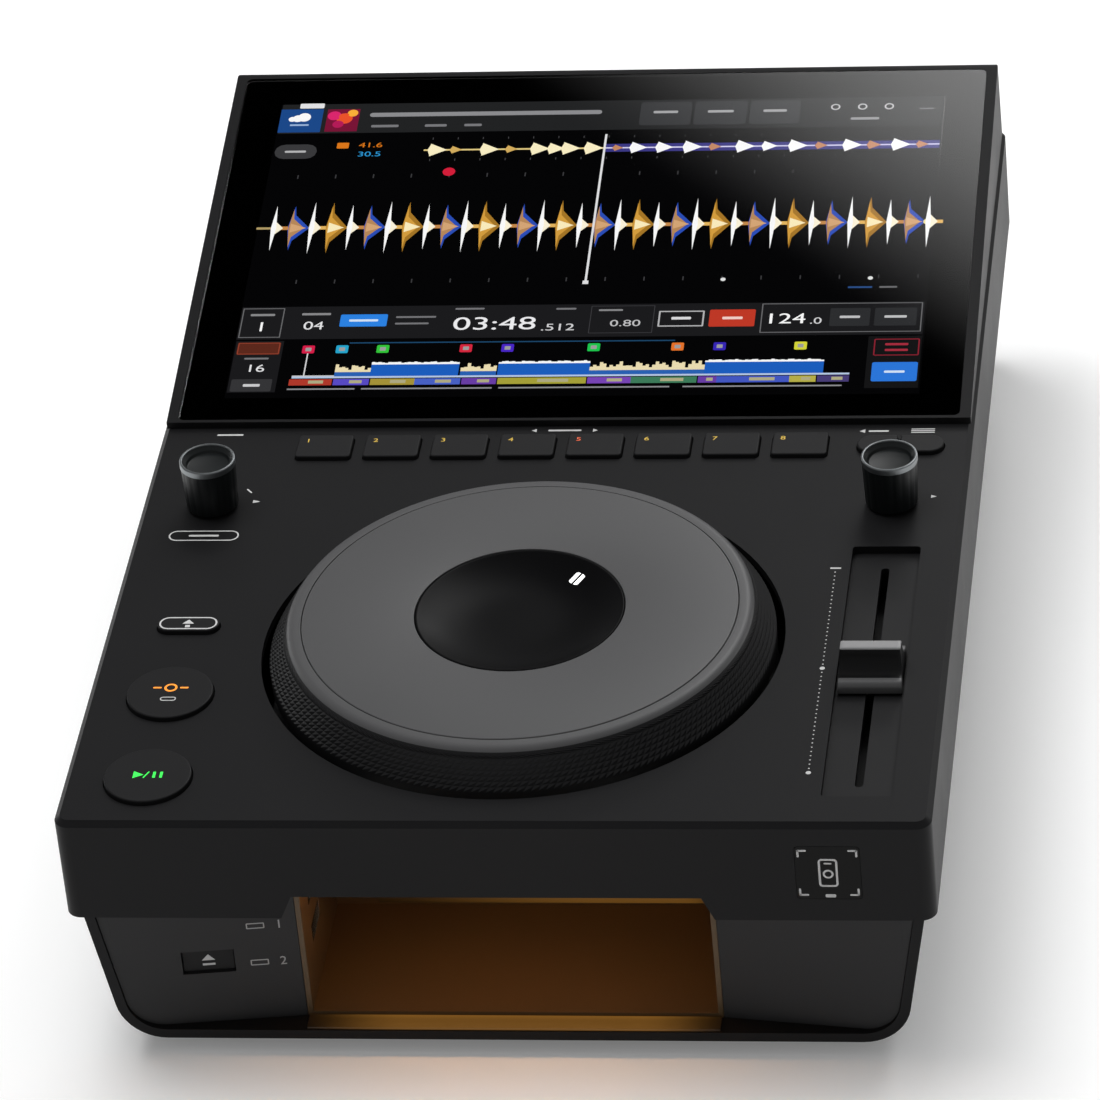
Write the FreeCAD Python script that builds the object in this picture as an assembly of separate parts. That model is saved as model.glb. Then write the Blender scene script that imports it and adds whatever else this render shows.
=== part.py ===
import FreeCAD, Part
import math
import os

from FreeCAD import Placement, Rotation, Vector

# Desktop media player: a flat deck with a jog wheel, keys and a tempo fader, a screen on a wedge at the
# rear, and an open lit bay for memory sticks under the front lip.
# Millimetres. X runs to the right, Y to the rear, Z up. The origin is at the centre of the footprint on
# the desk. Places are given as distances behind the front face and heights above the deck's top face.

# Case
caseWidth = 245.0
caseDepth = 370.0
deckHeight = 85.0
lipHeight = 33.0
caseWall = 2.5
caseCorner = 4.5
caseBevel = 1.6
notchInset = 0.4
notchRise = 7.5
notchSlant = 3.4

# Lower shell
shellSetback = 5.0
shellTopInset = 3.3
shellLean = 8.0
shellWall = 3.0
shellRound = 14.0
shellNest = 5.0
footHeight = 5.0
footRadius = 10.0
footX = caseWidth / 2 - 44.5
footInset = 32.0

# Posts that join the two halves of the case
postRadius = 4.0
postBottomHeight = 32.0
postFloorSink = 4.0
frontPostX = 0.306 * caseWidth
middlePostX = 0.302 * caseWidth
rearPostX = 0.367 * caseWidth
frontPostBack = 48.0
middlePostBack = 160.0
rearPostBack = caseDepth - 19.0
postPlaces = (
    (frontPostX, frontPostBack), (middlePostX, middlePostBack), (rearPostX, rearPostBack),
)
boreRadius = 3.3

# Screws
screwRadius = 1.45
screwHeadRadius = 2.8
screwHeadHeight = 1.8
holeClearance = 0.05
caseScrewLength = 14.0
boardScrewLength = 6.0

# Clearances
keyGap = 0.35
fitGap = 0.3
runGap = 0.03
underDeck = 0.3

# Jog wheel
jogBack = 86.7
jogHoleRadius = 0.3073 * caseWidth
jogRadius = jogHoleRadius - 2.5
jogRimRadius = jogRadius - 5.9
jogHeight = 11.5
jogRimDrop = 1.5
jogSkirtDrop = 3.5
jogWall = 2.4
jogPlateRadius = jogRimRadius - 4.3
jogPlateThickness = 1.6
capRadius = 30.1
capDepth = 4.2
capFloor = 1.8
capWall = 1.3
capSlope = 2.4
hubRadius = 12.0
shaftRadius = 4.0
shaftLength = 27.5
bearingRadius = 11.0
bearingHeight = 7.0
bearingSpacing = 8.5
towerWall = 3.0
jogBaseRadius = jogHoleRadius - 1.3
jogBaseThickness = 2.2
jogBaseDepth = 21.7
earRadius = jogHoleRadius + 4.7
earWidth = 12.0
earAngles = (38.0, 142.0, 218.0, 322.0)
ringRadius = jogRadius - 14.8
ringWall = 1.5
ringDrop = 9.4
ringFlange = 8.0
ringSlots = 40
ringSlotShare = 0.5
sensorWidth = 9.0
sensorArm = 3.6
sensorGap = 0.7

# Keys
keyLift = 1.4
keyFlange = 1.0
keyFlangeHeight = 1.5
keyStemRadius = 1.2
keyStemLength = 3.7
keyTravel = 1.2
switchSize = 6.0
switchHeight = 4.8
switchBoreRadius = 1.65
switchBoreDepth = 3.7
boardDrop = 11.0
boardThickness = 1.6

cueKeyCount = 8
cueRowMargin = 40.74
cueKeySpace = 3.94
cueKeyPitch = (caseWidth - 2 * cueRowMargin) / cueKeyCount
cueKeyWidth = cueKeyPitch - cueKeySpace
cueKeyDepth = 11.6
cueKeyBack = 186.7
cueKeyCorner = 1.2
roundKeyRadius = 12.45
roundKeyX = 24.0 - caseWidth / 2
playKeyBack = 20.9
cueKeyRoundBack = 60.6
shiftKeyWidth = 18.2
shiftKeyDepth = 7.2
shiftKeyBack = 94.5
pillLeft = caseWidth / 2 - 33.9
pillRight = caseWidth / 2 - 8.1
pillSplit = caseWidth / 2 - 21.6
pillSplitGap = 0.9
pillDepth = 8.8
pillCorner = 0.8
pillBack = 186.4

# Rotary knobs
knobX = caseWidth / 2 - 21.5
knobBack = 156.9
knobRadius = 8.3
knobHeight = 17.0
knobClearance = 0.8
knobTaper = 0.5
knobDish = 2.4
knobDishRadius = 6.2
knobChamfer = 0.9
knobShaftRadius = 3.0
knobShaftTop = 12.5
encoderSize = 12.0
encoderHeight = 6.8
encoderWall = 1.0
bushingRadius = 3.6
bushingTop = -0.3
rotorRadius = 4.2
rotorHeight = 1.3
plungerRadius = 2.5
plungerHeight = 1.2
knobTravel = 0.5

# Tempo fader
faderX = caseWidth / 2 - 21.4
faderBack = 73.7
faderTravel = 100.0
wellWidth = 19.8
wellDepth = 121.2
wellCorner = 1.2
plateThickness = 1.2
plateBorder = 4.0
slitWidth = 2.4
leverWidth = 1.2
leverDepth = 4.4
slitEndGap = 0.8
faderBodyWidth = 10.0
faderBodyHeight = 10.0
faderBodyWall = 1.2
faderBodyOver = 6.0
carriageWidth = 6.0
carriageDepth = 6.0
carriageHeight = 5.0
faderCapLength = 20.0
faderCapBase = 18.4
faderCapTop = 17.0
faderCapHeight = 8.4
faderCapRidge = 4.4
faderCapToe = 3.0
faderCapToeHeight = 1.6
faderCapFloat = 0.8
faderCapSocket = 5.0

# Screen
screenFront = 198.5
screenLift = 2.2
screenSlope = 8.75
housingTop = caseDepth - screenFront - 6.0
housingSideInset = 0.9
housingWall = 3.0
housingRearFoot = caseDepth - 2.0
housingRound = 3.0
glassWidth = caseWidth - 8.6
glassDepth = housingTop - 3.5
glassFront = 1.2
glassThickness = 1.6
glassSink = 0.1
glassCorner = 2.0
panelWidth = caseWidth - 29.0
panelDepth = housingTop - 25.5
panelFront = 11.0
panelThickness = 4.4
bracketThickness = 1.0
bracketBorder = 3.0
deckOpeningWidth = caseWidth - 23.0
deckOpeningFront = 206.0
deckOpeningRear = caseDepth - 32.0

# Bay and front bezels
bayWidth = caseWidth - 129.0
bayFront = 12.0
bayDepth = 50.0
bayTop = 60.0
bayWall = 1.5
bezelThickness = 3.0
bezelEdgeX = caseWidth / 2 - 10.5
bezelEdgeSetback = 0.6
lampWidth = bayWidth - 12.0
lampDepth = 4.0
lampHeight = 3.0
lampSetback = 2.0

# Sockets in the bay
socketBack = 30.0
socketHeights = (28.2, 41.4)
socketWidth = 13.1
socketHeight = 5.7
socketWall = 0.35
socketLength = 14.0
tongueWidth = 11.1
tongueHeight = 1.8
tongueSetback = 1.0
socketBoardHeight = 30.0
socketBoardDepth = 24.0

# Eject key in the left bezel
ejectX = 36.9 - caseWidth / 2
ejectHeight = 29.5
ejectWidth = 14.4
ejectTall = 7.2
ejectSink = 1.0
ejectTravel = 1.2
ejectBoardWidth = 22.0
ejectBoardTall = 16.0

# Touch pad window
padX = caseWidth / 2 - 29.1
padDrop = 16.5
padSize = 18.0
padThickness = 1.2
padCorner = 1.2
padBoardSize = 26.0

# Boards under the deck
boardPostSpace = 1.03
leftBoardLeft = 4.0 - caseWidth / 2
leftBoardRight = -(frontPostX + postRadius + boardPostSpace)
leftBoardFront = 8.0
leftBoardPostInset = 4.0
leftBoardFrontPost = 40.0
leftBoardRearPost = 122.0
rightBoardLeft = -4 * cueKeyPitch - 1.24
rightBoardRight = caseWidth / 2 - 6.5
rightBoardFront = 173.0
rightBoardRear = 197.0
rightBoardPostBack = 176.6
rightBoardWingPostBack = 168.0
rightBoardWingPostInset = 5.0
knobBoardMargin = 10.0
knobBoardSide = 12.0

# Boards on the floor: they share the width between the posts, in 146 steps of about a millimetre
boardLift = 6.0
boardsLeft = -(rearPostX - postRadius - 8.0)
boardsRight = middlePostX - postRadius - 2.0
boardsStep = (boardsRight - boardsLeft) / 146
powerBoardLeft = boardsLeft
powerBoardRight = boardsLeft + 48 * boardsStep
mainBoardLeft = boardsLeft + 56 * boardsStep
mainBoardRight = boardsRight
mainBoardFront = bayFront + bayDepth + 8.0
mainBoardRear = caseDepth - 11.0
powerBoardFront = 190.0
powerBoardRear = caseDepth - 20.0
boardPostRadius = 3.2
boardPostInset = 6.0
partSink = 0.1

# Parts on the boards: their ends across and along the board, as shares of it, and their height
mainBoardParts = (
    ((0.36, 0.67), (0.24, 0.34), 2.4),
    ((0.13, 0.27), (0.17, 0.26), 1.4),
    ((0.78, 0.93), (0.28, 0.32), 1.4),
    ((0.24, 0.62), (0.42, 0.52), 9.0),
    ((0.47, 0.91), (0.69, 0.74), 6.0),
)
powerBoardParts = (
    ((0.17, 0.71), (0.22, 0.40), 22.0),
    ((0.08, 0.79), (0.66, 0.69), 24.0),
    ((0.13, 0.58), (0.78, 0.87), 14.0),
)
# Capacitors: place across and along the board as shares of it, radius and height
capacitors = ((0.46, 0.56, 8.0, 26.0), (0.25, 0.11, 5.0, 16.0), (0.60, 0.11, 5.0, 16.0))

# Rear panel and its sockets
rearPanelThickness = 1.2
rearPanelSetback = 6.0
rearPanelTop = 74.0
inletX = boardsLeft + 18 * boardsStep
inletHeight = 32.0
inletFlangeWidth = 26.0
inletFlangeTall = 18.0
inletFlangeThickness = 1.5
inletBodyWidth = 20.0
inletBodyTall = 12.0
inletBodyDepth = 18.0
inletMouthWidth = 15.0
inletMouthTall = 8.6
inletMouthRound = 4.0
inletMouthReach = 3.0
inletMouthDepth = 15.0
inletStandWidth = 16.0
inletStandFront = 16.0
inletStandRear = 6.0
inletPinRadius = 1.2
inletPinLength = 11.5
inletPinSetback = 13.0
inletPinSpacing = 8.6
powerX = boardsLeft + 41.5 * boardsStep
powerSize = 9.0
powerTravel = 2.5
powerReach = 3.5
powerKeyDepth = 4.0
powerStemDepth = 8.0
powerStemSize = 4.0
powerKeyRound = 0.8
powerHousingWidth = 12.0
powerHousingDepth = 14.0
powerHousingTop = 6.0
powerHousingWall = 1.5
audioX = tuple(boardsLeft + step * boardsStep for step in (112, 125, 139))
jackHeight = 29.0
audioBodySize = 10.0
audioBarrelRadius = 4.15
audioBarrelReach = 5.1
audioCoreRadius = 1.6
audioCoreStart = 4.0
# The two square sockets: place, width and height outside, then width, height and depth of the mouth
squareJacks = (
    (boardsLeft + 68 * boardsStep, 16.0, 13.5, 11.8, 8.2, 12.0),
    (boardsLeft + 92 * boardsStep, 12.0, 11.0, 8.4, 7.8, 9.0),
)
squareJackDepth = 14.0
squareJackReach = 0.4
squareJackStandInset = 1.0
rearPanelFlapInset = 12.0


def behind(distance):
    return distance - caseDepth / 2


def above(height):
    return deckHeight + height


def block(x0, x1, y0, y1, z0, z1):
    return Part.makeBox(x1 - x0, y1 - y0, z1 - z0, Vector(x0, y0, z0))


def rod(radius, x, y, z0, z1):
    return Part.makeCylinder(radius, z1 - z0, Vector(x, y, z0))


def ring(outer, inner, x, y, z0, z1):
    return rod(outer, x, y, z0, z1).cut(rod(inner, x, y, z0 - 1, z1 + 1))


def roundedFace(width, depth, corner, leftCorner=None):
    """A face in the XY plane, centred on the origin; the two left corners may differ."""
    a, b = width / 2, depth / 2
    edges = []
    for sx, sy in ((1, 1), (-1, 1), (-1, -1), (1, -1)):
        r = corner if sx > 0 or leftCorner is None else leftCorner
        k = r * (1 - math.sqrt(0.5))
        side = Vector(sx * a, sy * (b - r), 0)
        end = Vector(sx * (a - r), sy * b, 0)
        middle = Vector(sx * (a - k), sy * (b - k), 0)
        first, last = (side, end) if sx * sy > 0 else (end, side)
        if edges:
            edges.append(Part.LineSegment(edges[-1].EndPoint, first))
        edges.append(Part.Arc(first, middle, last))
    edges.append(Part.LineSegment(edges[-1].EndPoint, edges[0].StartPoint))
    return Part.Face(Part.Wire([edge.toShape() for edge in edges]))


def roundedSlab(width, depth, corner, x, y, z0, z1):
    face = roundedFace(width, depth, corner)
    face.translate(Vector(x, y, z0))
    return face.extrude(Vector(0, 0, z1 - z0))


def prismX(points, x0, x1):
    """A solid from (y, z) points, extruded along X."""
    wire = Part.makePolygon([Vector(x0, y, z) for y, z in points] + [Vector(x0, *points[0])])
    return Part.Face(wire).extrude(Vector(x1 - x0, 0, 0))


def prismY(points, y0, y1):
    """A solid from (x, z) points, extruded along Y."""
    wire = Part.makePolygon([Vector(x, y0, z) for x, z in points] + [Vector(points[0][0], y0, points[0][1])])
    return Part.Face(wire).extrude(Vector(0, y1 - y0, 0))


def prismZ(points, z0, z1):
    """A solid from (x, y) points, extruded along Z."""
    wire = Part.makePolygon([Vector(x, y, z0) for x, y in points] + [Vector(*points[0], z0)])
    return Part.Face(wire).extrude(Vector(0, 0, z1 - z0))


def turned(points, x, y, z):
    """A solid of revolution about the vertical line through (x, y), from (radius, height) points."""
    corners = [Vector(r, 0, h) for r, h in points]
    wire = Part.makePolygon(corners + [corners[0]])
    solid = Part.Face(wire).revolve(Vector(0, 0, 0), Vector(0, 0, 1), 360)
    solid = Part.Solid(solid) if solid.ShapeType != "Solid" else solid
    solid.translate(Vector(x, y, z))
    return solid


def join(solids):
    result = solids[0]
    for solid in solids[1:]:
        result = result.fuse(solid)
    return result.removeSplitter()


def remove(solid, tools):
    for tool in tools:
        solid = solid.cut(tool)
    return solid


def mirrored(points):
    return [(side * x, back) for x, back in points for side in (-1, 1)]


def edgesAt(solid, test):
    return [edge for edge in solid.Edges if test(edge)]


def flatAt(edge, z):
    box = edge.BoundBox
    return abs(box.ZMin - z) < 1e-4 and abs(box.ZMax - z) < 1e-4


def screwUp(x, y, z, length):
    """A pan-head screw driven upwards: its head hangs below z and its shank stands above it."""
    head = rod(screwHeadRadius, x, y, z - screwHeadHeight, z)
    return join([head, rod(screwRadius, x, y, z, z + length)])


def screwHole(x, y, z, length):
    return rod(screwRadius + holeClearance, x, y, z - 1, z + length + 1)


def write(name, shape):
    shape.exportStep("parts/%s.step" % name)


# Heights that several pieces share
deckUnderside = above(-caseWall)
boardTop = above(-boardDrop)
boardUnderside = boardTop - boardThickness
shellFloor = footHeight + shellWall
postSplit = footHeight + postBottomHeight
mainBoardUnderside = shellFloor + boardLift
mainBoardTop = mainBoardUnderside + boardThickness
jogBaseTop = above(-jogBaseDepth) + jogBaseThickness
jogBaseUnderside = above(-jogBaseDepth)
jogY = behind(jogBack)
rearPanelFront = behind(caseDepth - rearPanelSetback - rearPanelThickness)
rearPanelBack = rearPanelFront + rearPanelThickness

# Places that several pieces share
leftBoardPosts = tuple(
    (x, back)
    for x in (leftBoardLeft + leftBoardPostInset, leftBoardRight - leftBoardPostInset)
    for back in (leftBoardFrontPost, leftBoardRearPost)
)
rightBoardPosts = (
    (-3 * cueKeyPitch, rightBoardPostBack), (0.0, rightBoardPostBack), (3 * cueKeyPitch, rightBoardPostBack),
    (rightBoardRight - rightBoardWingPostInset, rightBoardWingPostBack),
)
mainBoardPosts = tuple(
    (x, back)
    for x in (mainBoardLeft + boardPostInset, mainBoardRight - boardPostInset)
    for back in (mainBoardFront + boardPostInset, mainBoardRear - 2 * boardPostInset)
)
powerBoardPosts = tuple(
    (x, back)
    for x in (powerBoardLeft + boardPostInset, powerBoardRight - boardPostInset)
    for back in (powerBoardFront + boardPostInset, powerBoardRear - 2 * boardPostInset)
)


def cueKeyPlaces():
    first = -(cueKeyCount - 1) / 2
    return [((first + index) * cueKeyPitch, cueKeyBack) for index in range(cueKeyCount)]


def keyOutlines(grow):
    """Each key's name, its outline about its own centre, and its place; grow widens every outline."""
    outlines = []
    for index, (x, back) in enumerate(cueKeyPlaces()):
        face = roundedFace(cueKeyWidth + 2 * grow, cueKeyDepth + 2 * grow, cueKeyCorner + grow)
        outlines.append(("hot_cue_key_%d" % (index + 1), face, x, back))
    for name, back in (("play_key", playKeyBack), ("cue_key", cueKeyRoundBack)):
        circle = Part.Face(Part.Wire(Part.makeCircle(roundKeyRadius + grow)))
        outlines.append((name, circle, roundKeyX, back))
    pillEnd = shiftKeyDepth / 2 + grow - 0.01
    shift = roundedFace(shiftKeyWidth + 2 * grow, shiftKeyDepth + 2 * grow, pillEnd)
    outlines.append(("shift_key", shift, roundKeyX, shiftKeyBack))
    pillEnd = pillDepth / 2 + grow - 0.01
    square = pillCorner + grow
    for name, x0, x1, rightEnd, leftEnd in (
        ("back_key", pillLeft, pillSplit - pillSplitGap / 2, square, pillEnd),
        ("menu_key", pillSplit + pillSplitGap / 2, pillRight, pillEnd, square),
    ):
        face = roundedFace(x1 - x0 + 2 * grow, pillDepth + 2 * grow, rightEnd, leftEnd)
        outlines.append((name, face, (x0 + x1) / 2, pillBack))
    return outlines


def placedPrism(face, x, back, z0, z1):
    copy = face.copy()
    copy.translate(Vector(x, behind(back), z0))
    return copy.extrude(Vector(0, 0, z1 - z0))


# The upper case: deck, lip and skirts in one moulding, with its posts
def topCase():
    bottom = above(-lipHeight)
    solid = roundedSlab(caseWidth, caseDepth, caseCorner, 0, 0, bottom, deckHeight)
    solid = solid.makeChamfer(caseBevel, edgesAt(solid, lambda edge: flatAt(edge, deckHeight)))
    inner = roundedSlab(caseWidth - 2 * caseWall, caseDepth - 2 * caseWall, caseCorner - caseWall,
                        0, 0, bottom - 1, deckUnderside)
    solid = solid.cut(inner)
    half = bayWidth / 2 - notchInset
    notch = [(-half - notchSlant, bottom), (-half, bottom + notchRise), (half, bottom + notchRise),
             (half + notchSlant, bottom), (half + notchSlant, bottom - 1), (-half - notchSlant, bottom - 1)]
    tools = [prismY(notch, behind(-1), behind(caseWall + 1))]
    pocket = roundedFace(padSize + 2 * keyGap / 3, padSize + 2 * keyGap / 3, padCorner)
    pocket.rotate(Vector(0, 0, 0), Vector(1, 0, 0), 90)
    pocket.translate(Vector(padX, behind(padThickness), above(-padDrop)))
    tools.append(pocket.extrude(Vector(0, -padThickness - 1, 0)))
    tools.append(rod(jogHoleRadius, 0, jogY, deckUnderside - 1, deckHeight + 1))
    for name, face, x, back in keyOutlines(keyGap):
        tools.append(placedPrism(face, x, back, deckUnderside - 1, deckHeight + 1))
    tools.append(roundedSlab(wellWidth, wellDepth, wellCorner, faderX, behind(faderBack),
                             deckUnderside - 1, deckHeight + 1))
    for side in (-1, 1):
        tools.append(rod(bushingRadius + fitGap, side * knobX, behind(knobBack),
                         deckUnderside - 1, deckHeight + 1))
    tools.append(block(-deckOpeningWidth / 2, deckOpeningWidth / 2, behind(deckOpeningFront),
                       behind(deckOpeningRear), deckUnderside - 1, deckHeight + 1))
    solid = remove(solid, tools)
    posts = [rod(postRadius, x, behind(back), postSplit, deckUnderside + 0.5)
             for x, back in mirrored(postPlaces)]
    posts += [rod(boardPostRadius, x, behind(back), boardTop, deckUnderside + 0.5)
              for x, back in leftBoardPosts + rightBoardPosts]
    posts += [rod(boardPostRadius + 1, x, y, jogBaseTop, deckUnderside + 0.5) for x, y in earPlaces()]
    solid = join([solid] + posts)
    holes = [rod(screwRadius + holeClearance, x, behind(back), postSplit - 1,
                 postSplit - postFloorSink + caseScrewLength + 1) for x, back in mirrored(postPlaces)]
    holes += [screwHole(x, behind(back), boardUnderside, boardScrewLength)
              for x, back in leftBoardPosts + rightBoardPosts]
    holes += [screwHole(x, y, jogBaseUnderside, boardScrewLength) for x, y in earPlaces()]
    return remove(solid, holes)


def shellProfile(inset, top):
    """The lower shell's outline in XZ, drawn inset from its outer face, up to the height top."""
    shoulder = above(-lipHeight)
    halfTop = caseWidth / 2 - shellTopInset - inset
    base = footHeight + inset
    radius = shellRound - inset
    lean = math.atan2(shellLean, shoulder - footHeight)
    halfBase = halfTop - shellLean * (shoulder - base) / (shoulder - footHeight)
    tangent = radius * math.tan((math.pi / 2 - lean) / 2)
    wallStart = Vector(halfBase + tangent * math.sin(lean), 0, base + tangent * math.cos(lean))
    floorEnd = Vector(halfBase - tangent, 0, base)
    centre = Vector(floorEnd.x, 0, base + radius)
    bisector = (math.pi / 2 - lean) / 2
    middle = Vector(centre.x + radius * math.sin(bisector), 0, centre.z - radius * math.cos(bisector))

    def flip(point):
        return Vector(-point.x, 0, point.z)

    topOuter = Vector(halfTop, 0, top)
    shoulderOuter = Vector(halfTop, 0, shoulder)
    edges = [
        Part.LineSegment(flip(topOuter), flip(shoulderOuter)),
        Part.LineSegment(flip(shoulderOuter), flip(wallStart)),
        Part.Arc(flip(wallStart), flip(middle), flip(floorEnd)),
        Part.LineSegment(flip(floorEnd), floorEnd),
        Part.Arc(floorEnd, middle, wallStart),
        Part.LineSegment(wallStart, shoulderOuter),
        Part.LineSegment(shoulderOuter, topOuter),
        Part.LineSegment(topOuter, flip(topOuter)),
    ]
    return Part.Face(Part.Wire([edge.toShape() for edge in edges]))


def shellBody(inset, top, front, rear):
    face = shellProfile(inset, top)
    face.translate(Vector(0, behind(front), 0))
    return face.extrude(Vector(0, rear - front, 0))


# The lower shell: a thin U from side to side, open at the front and the rear
def bottomShell():
    top = above(-lipHeight) + shellNest
    rear = caseDepth - rearPanelSetback + 2 * rearPanelThickness
    solid = shellBody(0, top, shellSetback, rear)
    solid = solid.cut(shellBody(shellWall, top + 1, shellSetback - 1, rear + 1))
    posts = [rod(postRadius, x, behind(back), shellFloor - 0.5, postSplit)
             for x, back in mirrored(postPlaces)]
    posts += [rod(boardPostRadius, x, behind(back), shellFloor - 0.5, mainBoardUnderside)
              for x, back in mainBoardPosts + powerBoardPosts]
    solid = join([solid] + posts)
    tools = []
    for x, back in mirrored(postPlaces):
        tools.append(rod(boreRadius, x, behind(back), footHeight - 1, postSplit - postFloorSink))
        tools.append(screwHole(x, behind(back), postSplit - postFloorSink, caseScrewLength))
    for x, back in mainBoardPosts + powerBoardPosts:
        tools.append(rod(screwRadius + holeClearance, x, behind(back), footHeight + 1,
                         mainBoardUnderside + 1))
    return remove(solid, tools)


def bezelLine(x):
    """How far behind the front face the bezel's surface lies, at x from the centre."""
    outer = shellSetback + bezelEdgeSetback
    share = (bezelEdgeX - abs(x)) / (bezelEdgeX - bayWidth / 2)
    return outer + max(share, 0) * (bayFront - outer)


bezelAngle = math.degrees(math.atan2(bayFront - shellSetback - bezelEdgeSetback, bezelEdgeX - bayWidth / 2))


# One angled panel beside the bay, inside the shell's rim
def bezel(side):
    top = above(-lipHeight) + shellNest
    filled = shellBody(shellWall + fitGap / 2, top, shellSetback, bayFront + 3 * bezelThickness)
    inner = bayWidth / 2 + bayWall + fitGap / 2
    outer = caseWidth / 2
    xs = (inner, bezelEdgeX, outer)
    front = [(side * x, behind(bezelLine(x))) for x in xs]
    rear = [(side * x, behind(bezelLine(x) + bezelThickness)) for x in reversed(xs)]
    solid = filled.common(prismZ(front + rear, 0, top + 1))
    if side < 0:
        solid = solid.cut(ejectLocal(block(-ejectWidth / 2 - keyGap, ejectWidth / 2 + keyGap,
                                           -bezelThickness, 2 * bezelThickness,
                                           -ejectTall / 2 - keyGap, ejectTall / 2 + keyGap)))
    return solid


def ejectLocal(solid):
    """Places a solid drawn about the eject key's outer face, with local Y running into the bezel."""
    placed = solid.copy()
    origin = Vector(ejectX, behind(bezelLine(ejectX)), ejectHeight)
    placed.Placement = Placement(origin, Rotation(Vector(0, 0, 1), bezelAngle)).multiply(placed.Placement)
    return placed


# The eject key lies a little below the bezel's face; its stem reaches into a switch
def ejectKey():
    flangeFront = bezelThickness + fitGap
    flangeRear = flangeFront + keyFlangeHeight
    cap = block(-ejectWidth / 2, ejectWidth / 2, ejectSink, flangeRear, -ejectTall / 2, ejectTall / 2)
    flange = block(-ejectWidth / 2 - keyFlange, ejectWidth / 2 + keyFlange, flangeFront, flangeRear,
                   -ejectTall / 2 - keyFlange, ejectTall / 2 + keyFlange)
    stem = Part.makeCylinder(keyStemRadius, keyStemLength, Vector(0, flangeRear, 0), Vector(0, 1, 0))
    return ejectLocal(join([cap, flange, stem]))


def ejectSwitchFront():
    return bezelThickness + fitGap + keyFlangeHeight + keyTravel + 0.7


def ejectBoard():
    front = ejectSwitchFront() + switchHeight
    board = block(-ejectBoardWidth / 2, ejectBoardWidth / 2, front, front + boardThickness,
                  -ejectBoardTall / 2, ejectBoardTall / 2)
    legs = []
    for side in (-1, 1):
        x = side * (ejectBoardWidth / 2 - 1)
        legs.append(block(x - 1, x + 1, bezelThickness, front, -2, 2))
    return ejectLocal(join([board] + legs))


def ejectSwitch():
    front = ejectSwitchFront()
    half = switchSize / 2
    body = block(-half, half, front, front + switchHeight, -half, half)
    bore = Part.makeCylinder(switchBoreRadius, switchBoreDepth, Vector(0, front, 0), Vector(0, 1, 0))
    return ejectLocal(body.cut(bore))


# The bay: floor, side walls, ceiling and a rear wall that curves into the floor
def usbBay():
    half = bayWidth / 2
    outer = block(-half - bayWall, half + bayWall, behind(bayFront), behind(bayFront + bayDepth + bayWall),
                  shellFloor, bayTop + bayWall)
    inner = block(-half, half, behind(bayFront - 1), behind(bayFront + bayDepth),
                  shellFloor + bayWall, bayTop)
    solid = outer.cut(inner)
    for height in socketHeights:
        y = behind(socketBack)
        solid = solid.cut(block(-half - bayWall - 1, -half + 1, y - socketWidth / 2 - fitGap / 2,
                                y + socketWidth / 2 + fitGap / 2, height - socketHeight / 2 - fitGap / 2,
                                height + socketHeight / 2 + fitGap / 2))
    return solid


def usbSockets():
    solids = []
    mouth = -bayWidth / 2
    y = behind(socketBack)
    for height in socketHeights:
        shell = block(mouth - socketLength, mouth, y - socketWidth / 2, y + socketWidth / 2,
                      height - socketHeight / 2, height + socketHeight / 2)
        hollow = block(mouth - socketLength + 1.5, mouth + 1, y - socketWidth / 2 + socketWall,
                       y + socketWidth / 2 - socketWall, height - socketHeight / 2 + socketWall,
                       height + socketHeight / 2 - socketWall)
        tongueTop = height + socketHeight / 2 - socketWall - 0.4
        tongue = block(mouth - socketLength + 1, mouth - tongueSetback, y - tongueWidth / 2,
                       y + tongueWidth / 2, tongueTop - tongueHeight, tongueTop)
        solids.append(join([shell.cut(hollow), tongue]))
    return Part.makeCompound(solids)


def usbBoard():
    rear = -bayWidth / 2 - socketLength
    middle = sum(socketHeights) / len(socketHeights)
    y = behind(socketBack)
    return block(rear - boardThickness, rear, y - socketBoardDepth / 2, y + socketBoardDepth / 2,
                 middle - socketBoardHeight / 2, middle + socketBoardHeight / 2)


def bayLamp():
    front = behind(bayFront + lampSetback)
    return block(-lampWidth / 2, lampWidth / 2, front, front + lampDepth, bayTop - lampHeight, bayTop)


def padWindow():
    face = roundedFace(padSize, padSize, padCorner)
    face.rotate(Vector(0, 0, 0), Vector(1, 0, 0), 90)
    face.translate(Vector(padX, behind(padThickness), above(-padDrop)))
    return face.extrude(Vector(0, -padThickness, 0))


def padBoard():
    half = padBoardSize / 2
    drop = half + caseWall + 1
    y = behind(caseWall)
    return block(padX - half, padX + half, y, y + boardThickness, above(-drop - half), above(-drop + half))


# Screen: the housing's slope has its own frame, with local Y up the slope and local Z out of the glass
def onSlope(solid):
    placed = solid.copy()
    origin = Vector(0, behind(screenFront), above(screenLift))
    placed.Placement = Placement(origin, Rotation(Vector(1, 0, 0), screenSlope)).multiply(placed.Placement)
    return placed


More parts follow.
